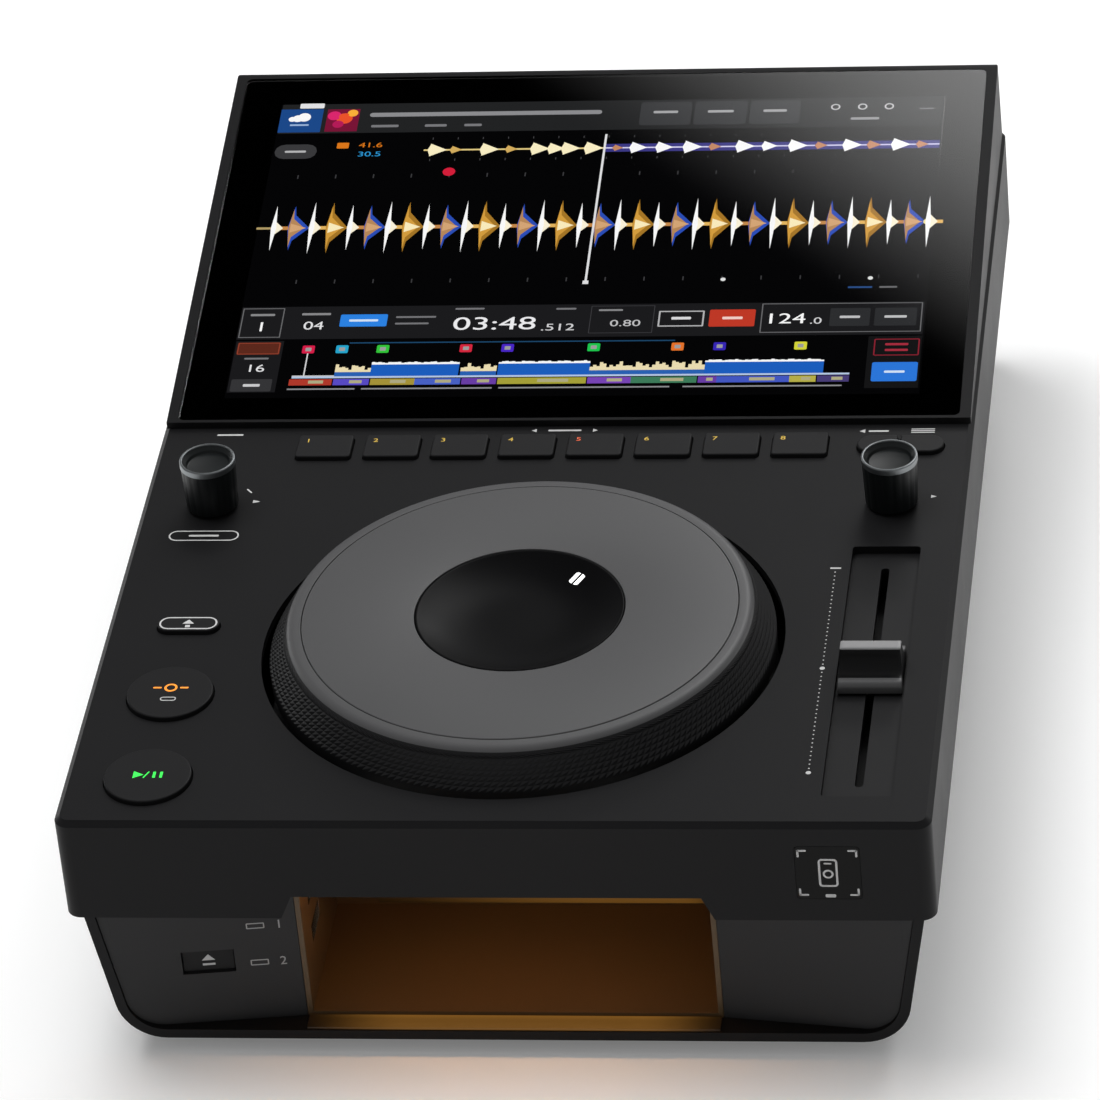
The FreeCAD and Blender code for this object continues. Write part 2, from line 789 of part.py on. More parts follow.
def displayHousing():
    half = caseWidth / 2 - housingSideInset
    slope = math.tan(math.radians(screenSlope))
    front = behind(screenFront)
    topRear = front + housingTop
    peak = above(screenLift + housingTop * slope)
    rearFoot = behind(housingRearFoot)
    outer = prismX([(front, deckHeight), (front, above(screenLift)), (topRear, peak),
                    (rearFoot, deckHeight)], -half, half)
    upright = [edge for edge in outer.Edges
               if edge.BoundBox.YMin > topRear - 0.01 and edge.BoundBox.XMax - edge.BoundBox.XMin < 0.01]
    ridge = [edge for edge in outer.Edges
             if edge.BoundBox.YMin > topRear - 0.01 and edge.BoundBox.ZMin > peak - 0.01]
    outer = outer.makeFillet(housingRound, upright + ridge)
    wall = housingWall
    hollowFront = front + (housingWall + glassThickness + glassSink - screenLift) / slope + wall
    hollowPeak = peak - wall - glassThickness - glassSink
    inner = prismX([(hollowFront, deckHeight - 1), (hollowFront, deckHeight + 0.5),
                    (topRear - wall, hollowPeak), (rearFoot - wall, deckHeight + 0.5),
                    (rearFoot - wall, deckHeight - 1)], -half + wall, half - wall)
    pocket = roundedSlab(glassWidth + 2 * fitGap / 3, glassDepth + 2 * fitGap / 3, glassCorner, 0,
                         glassFront + glassDepth / 2, -glassThickness - glassSink, 5)
    window = block(-panelWidth / 2 - fitGap, panelWidth / 2 + fitGap, panelFront - fitGap,
                   panelFront + panelDepth + fitGap, -30, 5)
    return remove(outer, [inner, onSlope(pocket), onSlope(window)])


def displayGlass():
    return onSlope(roundedSlab(glassWidth, glassDepth, glassCorner, 0, glassFront + glassDepth / 2,
                               -glassThickness - glassSink, -glassSink))


def displayPanel():
    top = -glassThickness - glassSink
    return onSlope(block(-panelWidth / 2, panelWidth / 2, panelFront, panelFront + panelDepth,
                         top - panelThickness, top))


def displayBracket():
    top = -glassThickness - glassSink - panelThickness
    half = panelWidth / 2 - bracketBorder
    plate = block(-half, half, panelFront + bracketBorder, panelFront + panelDepth - bracketBorder,
                  top - bracketThickness, top)
    middle = panelFront + panelDepth / 2
    cutouts = [block(side * half / 2 - half / 3, side * half / 2 + half / 3, middle - panelDepth / 3,
                     middle + panelDepth / 3, top - 5, top + 5) for side in (-1, 1)]
    legs = []
    for side in (-1, 1):
        x0, x1 = sorted((side * half, side * (half - bracketThickness)))
        legs.append(block(x0, x1, middle - 15, middle + 15, top - 8, top))
    return onSlope(remove(join([plate] + legs), cutouts))


# Jog wheel
def earPlaces():
    return [(earRadius * math.cos(math.radians(angle)), jogY + earRadius * math.sin(math.radians(angle)))
            for angle in earAngles]


webTop = jogHeight - jogPlateThickness
seatTop = jogHeight - capDepth - capFloor
hubFoot = -jogWall


def jogPlatter():
    rim = jogHeight - 0.2
    points = [
        (jogRadius, -jogSkirtDrop), (jogRadius, 0.0), (jogRimRadius, jogHeight - jogRimDrop),
        (jogRimRadius - 2.2, rim), (jogPlateRadius + 0.2, rim), (jogPlateRadius + 0.2, webTop),
        (capRadius + 0.2, webTop), (capRadius + 0.2, seatTop), (shaftRadius, seatTop),
        (shaftRadius, hubFoot), (hubRadius, hubFoot), (hubRadius, seatTop - jogWall),
        (capRadius + jogWall, seatTop - jogWall), (capRadius + jogWall, webTop - jogWall),
        (jogRimRadius - jogWall, webTop - jogWall), (jogRadius - jogWall, 0.0),
        (jogRadius - jogWall, -jogSkirtDrop),
    ]
    return turned(points, 0, jogY, deckHeight)


def jogTopPlate():
    return ring(jogPlateRadius, capRadius + 0.2, 0, jogY, above(webTop), above(jogHeight))


def jogCap():
    top = jogHeight - 0.1
    floor = jogHeight - capDepth
    points = [(0, seatTop), (capRadius, seatTop), (capRadius, top), (capRadius - capWall, top),
              (capRadius - capWall - capSlope, floor), (0, floor)]
    return turned(points, 0, jogY, deckHeight)


def jogShaft():
    top = above(seatTop)
    foot = top - shaftLength
    shaft = rod(shaftRadius - runGap, 0, jogY, foot, top)
    collar = rod(shaftRadius + 2, 0, jogY, foot, foot + 1.2)
    return join([shaft, collar])


def bearingFoot():
    return jogBaseTop + 1.0


def jogBearings():
    solids = []
    for index in range(2):
        z = bearingFoot() + index * bearingSpacing
        solids.append(ring(bearingRadius, shaftRadius, 0, jogY, z, z + bearingHeight))
    return Part.makeCompound(solids)


def jogBase():
    plate = rod(jogBaseRadius, 0, jogY, jogBaseUnderside, jogBaseTop)
    towerTop = bearingFoot() + bearingSpacing + bearingHeight
    tower = rod(bearingRadius + towerWall, 0, jogY, jogBaseTop - 0.1, towerTop)
    ears = []
    for angle, (x, y) in zip(earAngles, earPlaces()):
        ear = block(jogBaseRadius - 8, earRadius, -earWidth / 2, earWidth / 2, jogBaseUnderside, jogBaseTop)
        ear.rotate(Vector(0, 0, 0), Vector(0, 0, 1), angle)
        ear.translate(Vector(0, jogY, 0))
        ears += [ear, rod(earWidth / 2, x, y, jogBaseUnderside, jogBaseTop)]
    solid = join([plate, tower] + ears)
    tools = [rod(bearingRadius, 0, jogY, bearingFoot(), towerTop + 1),
             rod(shaftRadius + 3, 0, jogY, jogBaseUnderside - 1, bearingFoot() + 1)]
    tools += [screwHole(x, y, jogBaseUnderside, boardScrewLength) for x, y in earPlaces()]
    return remove(solid, tools)


def jogEncoderRing():
    top = webTop - jogWall
    flange = ring(ringRadius, ringRadius - ringFlange, 0, jogY, above(top - 1.0), above(top))
    skirt = ring(ringRadius, ringRadius - ringWall, 0, jogY, above(top - ringDrop), above(top - 0.5))
    solid = join([flange, skirt])
    pitch = 360.0 / ringSlots
    width = 2 * math.pi * ringRadius / ringSlots * ringSlotShare
    slots = []
    for index in range(ringSlots):
        slot = block(ringRadius - ringWall - 1, ringRadius + 1, -width / 2, width / 2,
                     above(top - ringDrop - 1), above(top - ringDrop / 2))
        slot.rotate(Vector(0, 0, 0), Vector(0, 0, 1), index * pitch)
        slot.translate(Vector(0, jogY, 0))
        slots.append(slot)
    return solid.cut(Part.makeCompound(slots))


def jogSensor():
    ringFoot = above(webTop - jogWall - ringDrop)
    inner = ringRadius - ringWall - sensorGap - sensorArm
    outer = ringRadius + sensorGap + sensorArm
    top = ringFoot + 4.0
    body = block(inner, outer, -sensorWidth / 2, sensorWidth / 2, jogBaseTop, top)
    groove = block(inner + sensorArm, outer - sensorArm, -sensorWidth, sensorWidth, ringFoot - 1.5, top + 1)
    solid = body.cut(groove)
    solid.rotate(Vector(0, 0, 0), Vector(0, 0, 1), 90)
    solid.translate(Vector(0, jogY, 0))
    return solid


# Keys on the deck
def key(face, widerFace, x, back):
    flangeTop = above(-caseWall - underDeck)
    cap = placedPrism(face, x, back, flangeTop, above(keyLift))
    rim = edgesAt(cap, lambda edge: flatAt(edge, above(keyLift)))
    cap = cap.makeFillet(0.45, rim)
    flange = placedPrism(widerFace, x, back, flangeTop - keyFlangeHeight, flangeTop)
    foot = flangeTop - keyFlangeHeight
    stem = rod(keyStemRadius, x, behind(back), foot - keyStemLength, foot)
    return join([cap, flange, stem])


def keySolids():
    result = []
    for (name, face, x, back), (_, wider, _, _) in zip(keyOutlines(0), keyOutlines(keyFlange)):
        if name in ("back_key", "menu_key"):
            # these two share one opening's middle, so their flanges stop short of each other
            x0, x1 = sorted((pillSplit - x, (-40 if name == "back_key" else 40)))
            gap = pillSplitGap / 2
            wider = wider.common(block(x0 + (gap if name == "menu_key" else 0),
                                       x1 - (gap if name == "back_key" else 0), -20, 20, -1, 1))
            wider = wider.Faces[0]
        result.append((name, key(face, wider, x, back)))
    return result


def keySwitches():
    solids = []
    for name, face, x, back in keyOutlines(0):
        y = behind(back)
        half = switchSize / 2
        body = block(x - half, x + half, y - half, y + half, boardTop, boardTop + switchHeight)
        bore = rod(switchBoreRadius, x, y, boardTop + switchHeight - switchBoreDepth,
                   boardTop + switchHeight + 1)
        solids.append(body.cut(bore))
    solids.append(ejectSwitch())
    return Part.makeCompound(solids)


def leftKeyBoard():
    board = block(leftBoardLeft, leftBoardRight, behind(leftBoardFront), behind(knobBack + knobBoardMargin),
                  boardUnderside, boardTop)
    return remove(board, [screwHole(x, behind(back), boardUnderside, boardScrewLength)
                          for x, back in leftBoardPosts])


def rightKeyBoard():
    board = block(rightBoardLeft, rightBoardRight, behind(rightBoardFront), behind(rightBoardRear),
                  boardUnderside, boardTop)
    wing = block(knobX - knobBoardSide, rightBoardRight, behind(knobBack - knobBoardMargin),
                 behind(rightBoardFront + 1), boardUnderside, boardTop)
    return remove(join([board, wing]), [screwHole(x, behind(back), boardUnderside, boardScrewLength)
                                        for x, back in rightBoardPosts])


# Rotary encoders and knobs
def encoderCase(side):
    x, y = side * knobX, behind(knobBack)
    half = encoderSize / 2
    top = boardTop + encoderHeight
    body = block(x - half, x + half, y - half, y + half, boardTop, top)
    bushing = rod(bushingRadius, x, y, top - 0.5, above(bushingTop))
    hollow = rod(rotorRadius + fitGap, x, y, boardTop + encoderWall, top - encoderWall)
    bore = rod(knobShaftRadius + runGap, x, y, boardTop + encoderWall, above(bushingTop) + 1)
    return remove(join([body, bushing]), [hollow, bore])


def encoderPlunger(side):
    x, y = side * knobX, behind(knobBack)
    foot = boardTop + encoderWall + 0.1 + knobTravel
    return rod(plungerRadius, x, y, foot, foot + plungerHeight)


def encoderShaft(side):
    x, y = side * knobX, behind(knobBack)
    foot = boardTop + encoderWall + 0.1 + knobTravel + plungerHeight + 0.2
    shaft = rod(knobShaftRadius, x, y, foot, above(knobShaftTop))
    rotor = rod(rotorRadius, x, y, foot, foot + rotorHeight)
    return join([shaft, rotor])


def knob(side):
    x, y = side * knobX, behind(knobBack)
    edge = knobRadius
    points = [
        (0, knobShaftTop), (knobShaftRadius, knobShaftTop), (knobShaftRadius, knobClearance),
        (edge - knobTaper, knobClearance), (edge, knobHeight - knobChamfer - 0.6),
        (edge, knobHeight - knobChamfer), (edge - knobChamfer, knobHeight),
        (knobDishRadius, knobHeight), (knobDishRadius - 0.4, knobHeight - knobDish),
        (0, knobHeight - knobDish - 0.3),
    ]
    return turned(points, x, y, deckHeight)


# Tempo fader
slitLength = faderTravel + leverDepth + 2 * slitEndGap


def faderPlate():
    width = wellWidth + 2 * plateBorder
    plate = block(faderX - width / 2, faderX + width / 2, behind(faderBack - wellDepth / 2 - plateBorder),
                  behind(faderBack + wellDepth / 2 + plateBorder), deckUnderside - plateThickness,
                  deckUnderside)
    slit = roundedSlab(slitWidth, slitLength, slitWidth / 2 - 0.01, faderX, behind(faderBack),
                       deckUnderside - plateThickness - 1, deckUnderside + 1)
    return plate.cut(slit)


def faderBody():
    top = deckUnderside - plateThickness
    halfLength = slitLength / 2 + faderBodyOver
    y = behind(faderBack)
    body = block(faderX - faderBodyWidth / 2, faderX + faderBodyWidth / 2, y - halfLength, y + halfLength,
                 top - faderBodyHeight, top)
    halfTrack = faderTravel / 2 + carriageDepth / 2 + slitEndGap
    channel = block(faderX - carriageWidth / 2 - fitGap, faderX + carriageWidth / 2 + fitGap,
                    y - halfTrack, y + halfTrack, top - faderBodyHeight + faderBodyWall,
                    top - faderBodyWall)
    slot = block(faderX - slitWidth / 2, faderX + slitWidth / 2, y - slitLength / 2, y + slitLength / 2,
                 top - faderBodyWall - 1, top + 1)
    return remove(body, [channel, slot])


def faderLever():
    top = deckUnderside - plateThickness
    foot = top - faderBodyHeight + faderBodyWall + fitGap
    y = behind(faderBack)
    carriage = block(faderX - carriageWidth / 2, faderX + carriageWidth / 2, y - carriageDepth / 2,
                     y + carriageDepth / 2, foot, foot + carriageHeight)
    blade = block(faderX - leverWidth / 2, faderX + leverWidth / 2, y - leverDepth / 2, y + leverDepth / 2,
                  foot + carriageHeight - 0.5, above(-caseWall + faderCapFloat + faderCapSocket))
    return join([carriage, blade])


def faderCap():
    foot = -caseWall + faderCapFloat
    half = faderCapLength / 2
    ridge = faderCapRidge / 2
    toe = half - faderCapToe
    side = [(-half, foot), (-half, faderCapToeHeight - 0.9), (-half + 0.9, faderCapToeHeight),
            (-toe, faderCapToeHeight)]
    steps = 6
    for index in range(1, steps + 1):
        angle = math.pi / 2 * index / steps
        y = -toe + (toe - ridge) * math.sin(angle)
        z = faderCapToeHeight + (faderCapHeight - faderCapToeHeight) * (1 - math.cos(angle))
        side.append((y, z))
    full = side + [(-y, z) for y, z in reversed(side)]
    points = [(behind(faderBack) + y, above(z)) for y, z in full]
    body = prismX(points, faderX - faderCapBase / 2, faderX + faderCapBase / 2)
    flank = prismY([(faderX - faderCapBase / 2, above(foot)), (faderX - faderCapBase / 2, above(foot + 3)),
                    (faderX - faderCapTop / 2, above(faderCapHeight + 0.1)),
                    (faderX + faderCapTop / 2, above(faderCapHeight + 0.1)),
                    (faderX + faderCapBase / 2, above(foot + 3)), (faderX + faderCapBase / 2, above(foot))],
                   behind(faderBack) - half - 1, behind(faderBack) + half + 1)
    socket = block(faderX - leverWidth / 2, faderX + leverWidth / 2, behind(faderBack) - leverDepth / 2,
                   behind(faderBack) + leverDepth / 2, above(foot) - 1, above(foot + faderCapSocket))
    return body.common(flank).cut(socket)


# Boards on the shell's floor, with the tall parts that stand on them
def boardPlace(first, last, share):
    return first + (last - first) * share


def partsOn(left, right, front, rear, parts):
    """Blocks on a board, from their ends as shares of its width and depth, and their height."""
    foot = mainBoardTop - partSink
    solids = []
    for across, along, height in parts:
        x0, x1 = [boardPlace(left, right, share) for share in across]
        back0, back1 = [boardPlace(front, rear, share) for share in along]
        solids.append(block(x0, x1, behind(back0), behind(back1), foot, mainBoardTop + height))
    return solids


def mainBoard():
    board = block(mainBoardLeft, mainBoardRight, behind(mainBoardFront), behind(mainBoardRear),
                  mainBoardUnderside, mainBoardTop)
    chips = partsOn(mainBoardLeft, mainBoardRight, mainBoardFront, mainBoardRear, mainBoardParts)
    holes = [screwHole(x, behind(back), mainBoardUnderside - 1, boardThickness + 1)
             for x, back in mainBoardPosts]
    return remove(join([board] + chips), holes)


def powerSwitchHousing():
    """It guides the power key's stem."""
    rear = rearPanelFront - powerKeyDepth - powerTravel - fitGap
    front = rear - powerHousingDepth
    outer = powerHousingWidth / 2
    body = block(powerX - outer, powerX + outer, front, rear, mainBoardTop - partSink,
                 inletHeight + powerHousingTop)
    half = powerStemSize / 2 + fitGap
    bore = block(powerX - half, powerX + half, front + powerHousingWall, rear + 1, inletHeight - half,
                 inletHeight + half)
    return body.cut(bore)


def powerBoard():
    board = block(powerBoardLeft, powerBoardRight, behind(powerBoardFront), behind(powerBoardRear),
                  mainBoardUnderside, mainBoardTop)
    parts = partsOn(powerBoardLeft, powerBoardRight, powerBoardFront, powerBoardRear, powerBoardParts)
    for across, along, radius, height in capacitors:
        x = boardPlace(powerBoardLeft, powerBoardRight, across)
        y = behind(boardPlace(powerBoardFront, powerBoardRear, along))
        parts.append(rod(radius, x, y, mainBoardTop - partSink, mainBoardTop + height))
    parts.append(powerSwitchHousing())
    holes = [screwHole(x, behind(back), mainBoardUnderside - 1, boardThickness + 1)
             for x, back in powerBoardPosts]
    return remove(join([board] + parts), holes)


# Rear panel and what sits in it
def alongY(radius, length, x, y, z):
    return Part.makeCylinder(radius, length, Vector(x, y, z), Vector(0, 1, 0))


def mainsInlet():
    front = rearPanelBack
    flangeX = inletFlangeWidth / 2
    flangeZ = inletFlangeTall / 2
    flange = block(inletX - flangeX, inletX + flangeX, front, front + inletFlangeThickness,
                   inletHeight - flangeZ, inletHeight + flangeZ)
    bodyX = inletBodyWidth / 2
    bodyZ = inletBodyTall / 2
    body = block(inletX - bodyX, inletX + bodyX, front - inletBodyDepth, front + inletFlangeThickness / 3,
                 inletHeight - bodyZ, inletHeight + bodyZ)
    hollow = roundedFace(inletMouthWidth, inletMouthTall, inletMouthRound)
    hollow.rotate(Vector(0, 0, 0), Vector(1, 0, 0), 90)
    hollow.translate(Vector(inletX, front + inletMouthReach, inletHeight))
    hollow = hollow.extrude(Vector(0, -inletMouthDepth, 0))
    standX = inletStandWidth / 2
    stand = block(inletX - standX, inletX + standX, front - inletStandFront, front - inletStandRear,
                  mainBoardTop, inletHeight - bodyZ + 0.5)
    pins = [alongY(inletPinRadius, inletPinLength, inletX + side * inletPinSpacing / 2,
                   front - inletPinSetback, inletHeight) for side in (-1, 1)]
    solid = join([flange, body, stand]).cut(hollow)
    return join([solid] + pins)


def powerKey():
    half = powerSize / 2
    rear = rearPanelBack + powerReach
    front = rearPanelFront - powerKeyDepth
    cap = block(powerX - half, powerX + half, front, rear, inletHeight - half, inletHeight + half)
    cap = cap.makeFillet(powerKeyRound, [edge for edge in cap.Edges if edge.BoundBox.YMin > rear - 0.01])
    stemHalf = powerStemSize / 2
    stem = block(powerX - stemHalf, powerX + stemHalf, front - powerStemDepth, front,
                 inletHeight - stemHalf, inletHeight + stemHalf)
    return join([cap, stem])


def rearJacks():
    solids = []
    half = audioBodySize / 2
    for x in audioX:
        body = block(x - half, x + half, rearPanelFront - audioBodySize, rearPanelFront, mainBoardTop,
                     jackHeight + half)
        barrel = alongY(audioBarrelRadius, rearPanelThickness + audioBarrelReach + partSink, x,
                        rearPanelFront - partSink, jackHeight)
        core = alongY(audioCoreRadius, 2 * audioBodySize, x, rearPanelFront - audioCoreStart, jackHeight)
        solids.append(join([body, barrel]).cut(core))
    for x, width, tall, mouthWidth, mouthTall, depth in squareJacks:
        foot = jackHeight - tall / 2
        rear = rearPanelBack + squareJackReach
        front = rearPanelFront - squareJackDepth
        body = block(x - width / 2, x + width / 2, front, rear, foot, foot + tall)
        standHalf = width / 2 - squareJackStandInset
        stand = block(x - standHalf, x + standHalf, front + squareJackStandInset,
                      rearPanelFront - 2 * squareJackStandInset, mainBoardTop, foot + 0.5)
        hollow = block(x - mouthWidth / 2, x + mouthWidth / 2, rear - depth, rear + 2,
                       jackHeight - mouthTall / 2, jackHeight + mouthTall / 2)
        solids.append(join([body, stand]).cut(hollow))
    return Part.makeCompound(solids)


def rearPanel():
    top = rearPanelTop
    solid = shellBody(shellWall + fitGap / 2, above(-lipHeight) + shellNest - 1,
                      caseDepth - rearPanelSetback - rearPanelThickness, caseDepth - rearPanelSetback)
    flapHalf = caseWidth / 2 - rearPanelFlapInset
    flap = block(-flapHalf, flapHalf, rearPanelFront, rearPanelBack,
                 above(-lipHeight) - 1, top)
    solid = join([solid, flap])
    gap = keyGap
    tools = []
    for x in audioX:
        tools.append(alongY(audioBarrelRadius + gap, 10 * rearPanelThickness, x,
                            rearPanelFront - audioCoreStart, jackHeight))
    windows = [(x, jackHeight, width, tall) for x, width, tall, _, _, _ in squareJacks]
    windows.append((inletX, inletHeight, inletBodyWidth, inletBodyTall))
    windows.append((powerX, inletHeight, powerSize, powerSize))
    for x, z, width, tall in windows:
        tools.append(block(x - width / 2 - gap, x + width / 2 + gap, rearPanelFront - 2, rearPanelBack + 2,
                           z - tall / 2 - gap, z + tall / 2 + gap))
    for x, back in mirrored(postPlaces[-1:]):
        tools.append(rod(postRadius + gap, x, behind(back), 0, top + 1))
    return remove(solid, tools)


def feet():
    solids = []
    for x in (-footX, footX):
        for back in (footInset, caseDepth - footInset):
            y = behind(back)
            foot = rod(footRadius, x, y, 0, footHeight)
            solids.append(foot.makeChamfer(1.0, edgesAt(foot, lambda edge: flatAt(edge, 0))))
    return Part.makeCompound(solids)


def caseScrews():
    return Part.makeCompound([screwUp(x, behind(back), postSplit - postFloorSink, caseScrewLength)
                              for x, back in mirrored(postPlaces)])


def boardScrews():
    solids = [screwUp(x, behind(back), boardUnderside, boardScrewLength)
              for x, back in leftBoardPosts + rightBoardPosts]
    solids += [screwUp(x, y, jogBaseUnderside, boardScrewLength) for x, y in earPlaces()]
    for x, back in mainBoardPosts + powerBoardPosts:
        down = screwUp(0, 0, 0, boardScrewLength)
        down.rotate(Vector(0, 0, 0), Vector(1, 0, 0), 180)
        down.translate(Vector(x, behind(back), mainBoardTop))
        solids.append(down)
    return Part.makeCompound(solids)


def main():
    os.makedirs("parts", exist_ok=True)
    pieces = [
        ("top_case", topCase()),
        ("bottom_shell", bottomShell()),
        ("left_bezel", bezel(-1)),
        ("right_bezel", bezel(1)),
        ("usb_bay", usbBay()),
        ("bay_lamp", bayLamp()),
        ("usb_sockets", usbSockets()),
        ("usb_board", usbBoard()),
        ("pad_window", padWindow()),
        ("pad_board", padBoard()),
        ("display_housing", displayHousing()),
        ("display_glass", displayGlass()),
        ("display_panel", displayPanel()),
        ("display_bracket", displayBracket()),
        ("jog_base", jogBase()),
        ("jog_bearings", jogBearings()),
        ("jog_sensor", jogSensor()),
        ("jog_shaft", jogShaft()),
        ("jog_platter", jogPlatter()),
        ("jog_top_plate", jogTopPlate()),
        ("jog_cap", jogCap()),
        ("jog_encoder_ring", jogEncoderRing()),
        ("fader_plate", faderPlate()),
        ("fader_body", faderBody()),
        ("fader_lever", faderLever()),
        ("fader_cap", faderCap()),
        ("encoder_cases", Part.makeCompound([encoderCase(-1), encoderCase(1)])),
        ("key_switches", keySwitches()),
        ("left_key_board", leftKeyBoard()),
        ("right_key_board", rightKeyBoard()),
        ("eject_key", ejectKey()),
        ("eject_board", ejectBoard()),
        ("main_board", mainBoard()),
        ("power_board", powerBoard()),
        ("power_key", powerKey()),
        ("mains_inlet", mainsInlet()),
        ("rear_jacks", rearJacks()),
        ("rear_panel", rearPanel()),
        ("feet", feet()),
        ("case_screws", caseScrews()),
        ("board_screws", boardScrews()),
    ]
    for side, word in ((-1, "left"), (1, "right")):
        pieces.append(("%s_encoder_plunger" % word, encoderPlunger(side)))
        pieces.append(("%s_encoder_shaft" % word, encoderShaft(side)))
        pieces.append(("%s_knob" % word, knob(side)))
    pieces += keySolids()
    for name, shape in pieces:
        write(name, shape)
        box = shape.BoundBox
        print("%-22s solids %2d  valid %s  volume %9.1f  x %7.1f %7.1f  y %7.1f %7.1f  z %6.1f %6.1f" % (
            name, len(shape.Solids), shape.isValid(), shape.Volume,
            box.XMin, box.XMax, box.YMin, box.YMax, box.ZMin, box.ZMax))


main()
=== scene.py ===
import math

import bmesh
import bpy
from mathutils import Matrix, Vector


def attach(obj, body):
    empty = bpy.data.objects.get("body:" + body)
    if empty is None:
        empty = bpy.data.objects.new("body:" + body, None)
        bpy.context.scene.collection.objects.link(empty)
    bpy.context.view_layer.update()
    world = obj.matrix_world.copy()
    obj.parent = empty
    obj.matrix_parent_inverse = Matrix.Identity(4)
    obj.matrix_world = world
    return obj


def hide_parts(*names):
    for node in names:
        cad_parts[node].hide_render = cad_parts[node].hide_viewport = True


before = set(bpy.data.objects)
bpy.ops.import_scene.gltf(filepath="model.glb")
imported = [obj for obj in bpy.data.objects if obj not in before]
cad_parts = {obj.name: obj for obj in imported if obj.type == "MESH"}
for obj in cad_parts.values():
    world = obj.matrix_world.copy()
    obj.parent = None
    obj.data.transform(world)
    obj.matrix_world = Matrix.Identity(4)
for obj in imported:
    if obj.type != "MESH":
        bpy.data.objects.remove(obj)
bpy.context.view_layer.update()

print("frame loaded:", len(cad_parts), "nodes")

# the deck's top face and the front face, in millimetres; every place below is counted from these two
deckTop = 85.0
caseFront = -185.0


def onDeck(x, back, height=0.0):
    return Vector((x, caseFront + back, deckTop + height)) / 1000


# the display's own plane: x to the right, v up the glass, w out of it
screenPlane = Matrix.Translation(onDeck(0, 198.5, 2.2)) @ Matrix.Rotation(math.radians(8.75), 4, "X")


def linearColour(code):
    channels = [int(code[i:i + 2], 16) / 255 for i in (1, 3, 5)]
    return tuple(c / 12.92 if c <= 0.04045 else ((c + 0.055) / 1.055) ** 2.4 for c in channels) + (1.0,)


# materials

def newMaterial(name, colour, roughness, **sockets):
    material = bpy.data.materials.new(name)
    material.use_nodes = True
    shader = material.node_tree.nodes["Principled BSDF"]
    shader.inputs["Base Color"].default_value = linearColour(colour)
    shader.inputs["Roughness"].default_value = roughness
    for socket, value in sockets.items():
        shader.inputs[socket.replace("_", " ")].default_value = value
    return material


def addNode(material, kind, links=None, values=None, **settings):
    # adds one node; links maps its inputs to other nodes' outputs, values sets plain inputs
    tree = material.node_tree
    item = tree.nodes.new(kind)
    for key, value in settings.items():
        setattr(item, key, value)
    for key, value in (values or {}).items():
        item.inputs[key].default_value = value
    for key, output in (links or {}).items():
        tree.links.new(output, item.inputs[key])
    return item


def mainShader(material):
    return material.node_tree.nodes["Principled BSDF"]


def connect(material, output, socket):
    material.node_tree.links.new(output, mainShader(material).inputs[socket])


def perMetre(millimetres):
    # a texture's scale for a pattern that repeats every so many millimetres
    return 1000.0 / millimetres


def mouldedGrain(material, grain, height, roughness, spread, tone=0.06, patch=45.0):
    # moulded plastic: a fine eroded grain, and a slow change of sheen and tone where it has been handled
    place = addNode(material, "ShaderNodeTexCoord").outputs["Object"]
    fine = addNode(material, "ShaderNodeTexNoise", {"Vector": place},
                   {"Scale": perMetre(grain), "Detail": 3.0, "Roughness": 0.6})
    slow = addNode(material, "ShaderNodeTexNoise", {"Vector": place},
                   {"Scale": perMetre(patch), "Detail": 4.0, "Roughness": 0.55})
    sheen = addNode(material, "ShaderNodeMapRange", {"Value": slow.outputs["Fac"]},
                    {"From Min": 0.3, "From Max": 0.7, "To Min": roughness - spread, "To Max": roughness + spread})
    connect(material, sheen.outputs["Result"], "Roughness")
    base = mainShader(material).inputs["Base Color"].default_value[:3]
    dark = tuple(c * (1 - tone) for c in base) + (1.0,)
    light = tuple(c * (1 + tone) for c in base) + (1.0,)
    shade = addNode(material, "ShaderNodeMix", {"Factor": slow.outputs["Fac"]}, data_type="RGBA")
    shade.inputs["A"].default_value = dark
    shade.inputs["B"].default_value = light
    connect(material, shade.outputs["Result"], "Base Color")
    bump = addNode(material, "ShaderNodeBump", {"Height": fine.outputs["Fac"]},
                   {"Strength": 0.35, "Distance": height / 1000})
    connect(material, bump.outputs["Normal"], "Normal")
    return material


caseAbs = {"colour": "#1a1a1b", "roughness": 0.45, "grain": 0.5, "gloss": 0.1}
shellAbs = {"colour": "#19191a", "roughness": 0.5, "gloss": 0.13}
# the bezel's grey is the case's plastic painted lighter: painted light on faces turned to the light
bezelPaintedLightAbs = {"colour": "#303031", "roughness": 0.5, "gloss": 0.16}
# the liner's brown holds part of the bay lamp's amber light as painted light
liner = {"colour": "#5c4932", "roughness": 0.42, "gloss": 0.3}
lamp = {"colour": "#ffba78", "strength": 11.0, "litBelow": (57.05, 57.15)}
plateFinish = {"colour": "#4b4b4c", "roughness": 0.42, "gloss": 0.4}

# ABS with a spark-eroded mould face: a broad, quiet sheen and no sharp highlight; the grain
# scatters, so its mirror part is far weaker than that of polished plastic
caseMaterial = mouldedGrain(newMaterial("ABS spark eroded dark grey", caseAbs["colour"], caseAbs["roughness"],
                                        Specular_IOR_Level=caseAbs["gloss"]),
                            caseAbs["grain"], 0.02, caseAbs["roughness"], 0.03)
shellMaterial = mouldedGrain(newMaterial("ABS spark eroded black", shellAbs["colour"], shellAbs["roughness"],
                                         Specular_IOR_Level=shellAbs["gloss"]),
                             0.5, 0.02, shellAbs["roughness"], 0.03)
# the same plastic from a smoother mould, painted a shade lighter as painted light, since it stands turned to the
# light
bezelPaintedLightMaterial = mouldedGrain(newMaterial("ABS dark grey painted lighter as lit", bezelPaintedLightAbs["colour"], bezelPaintedLightAbs["roughness"],
                                         Specular_IOR_Level=bezelPaintedLightAbs["gloss"]),
                             0.4, 0.01, bezelPaintedLightAbs["roughness"], 0.03)
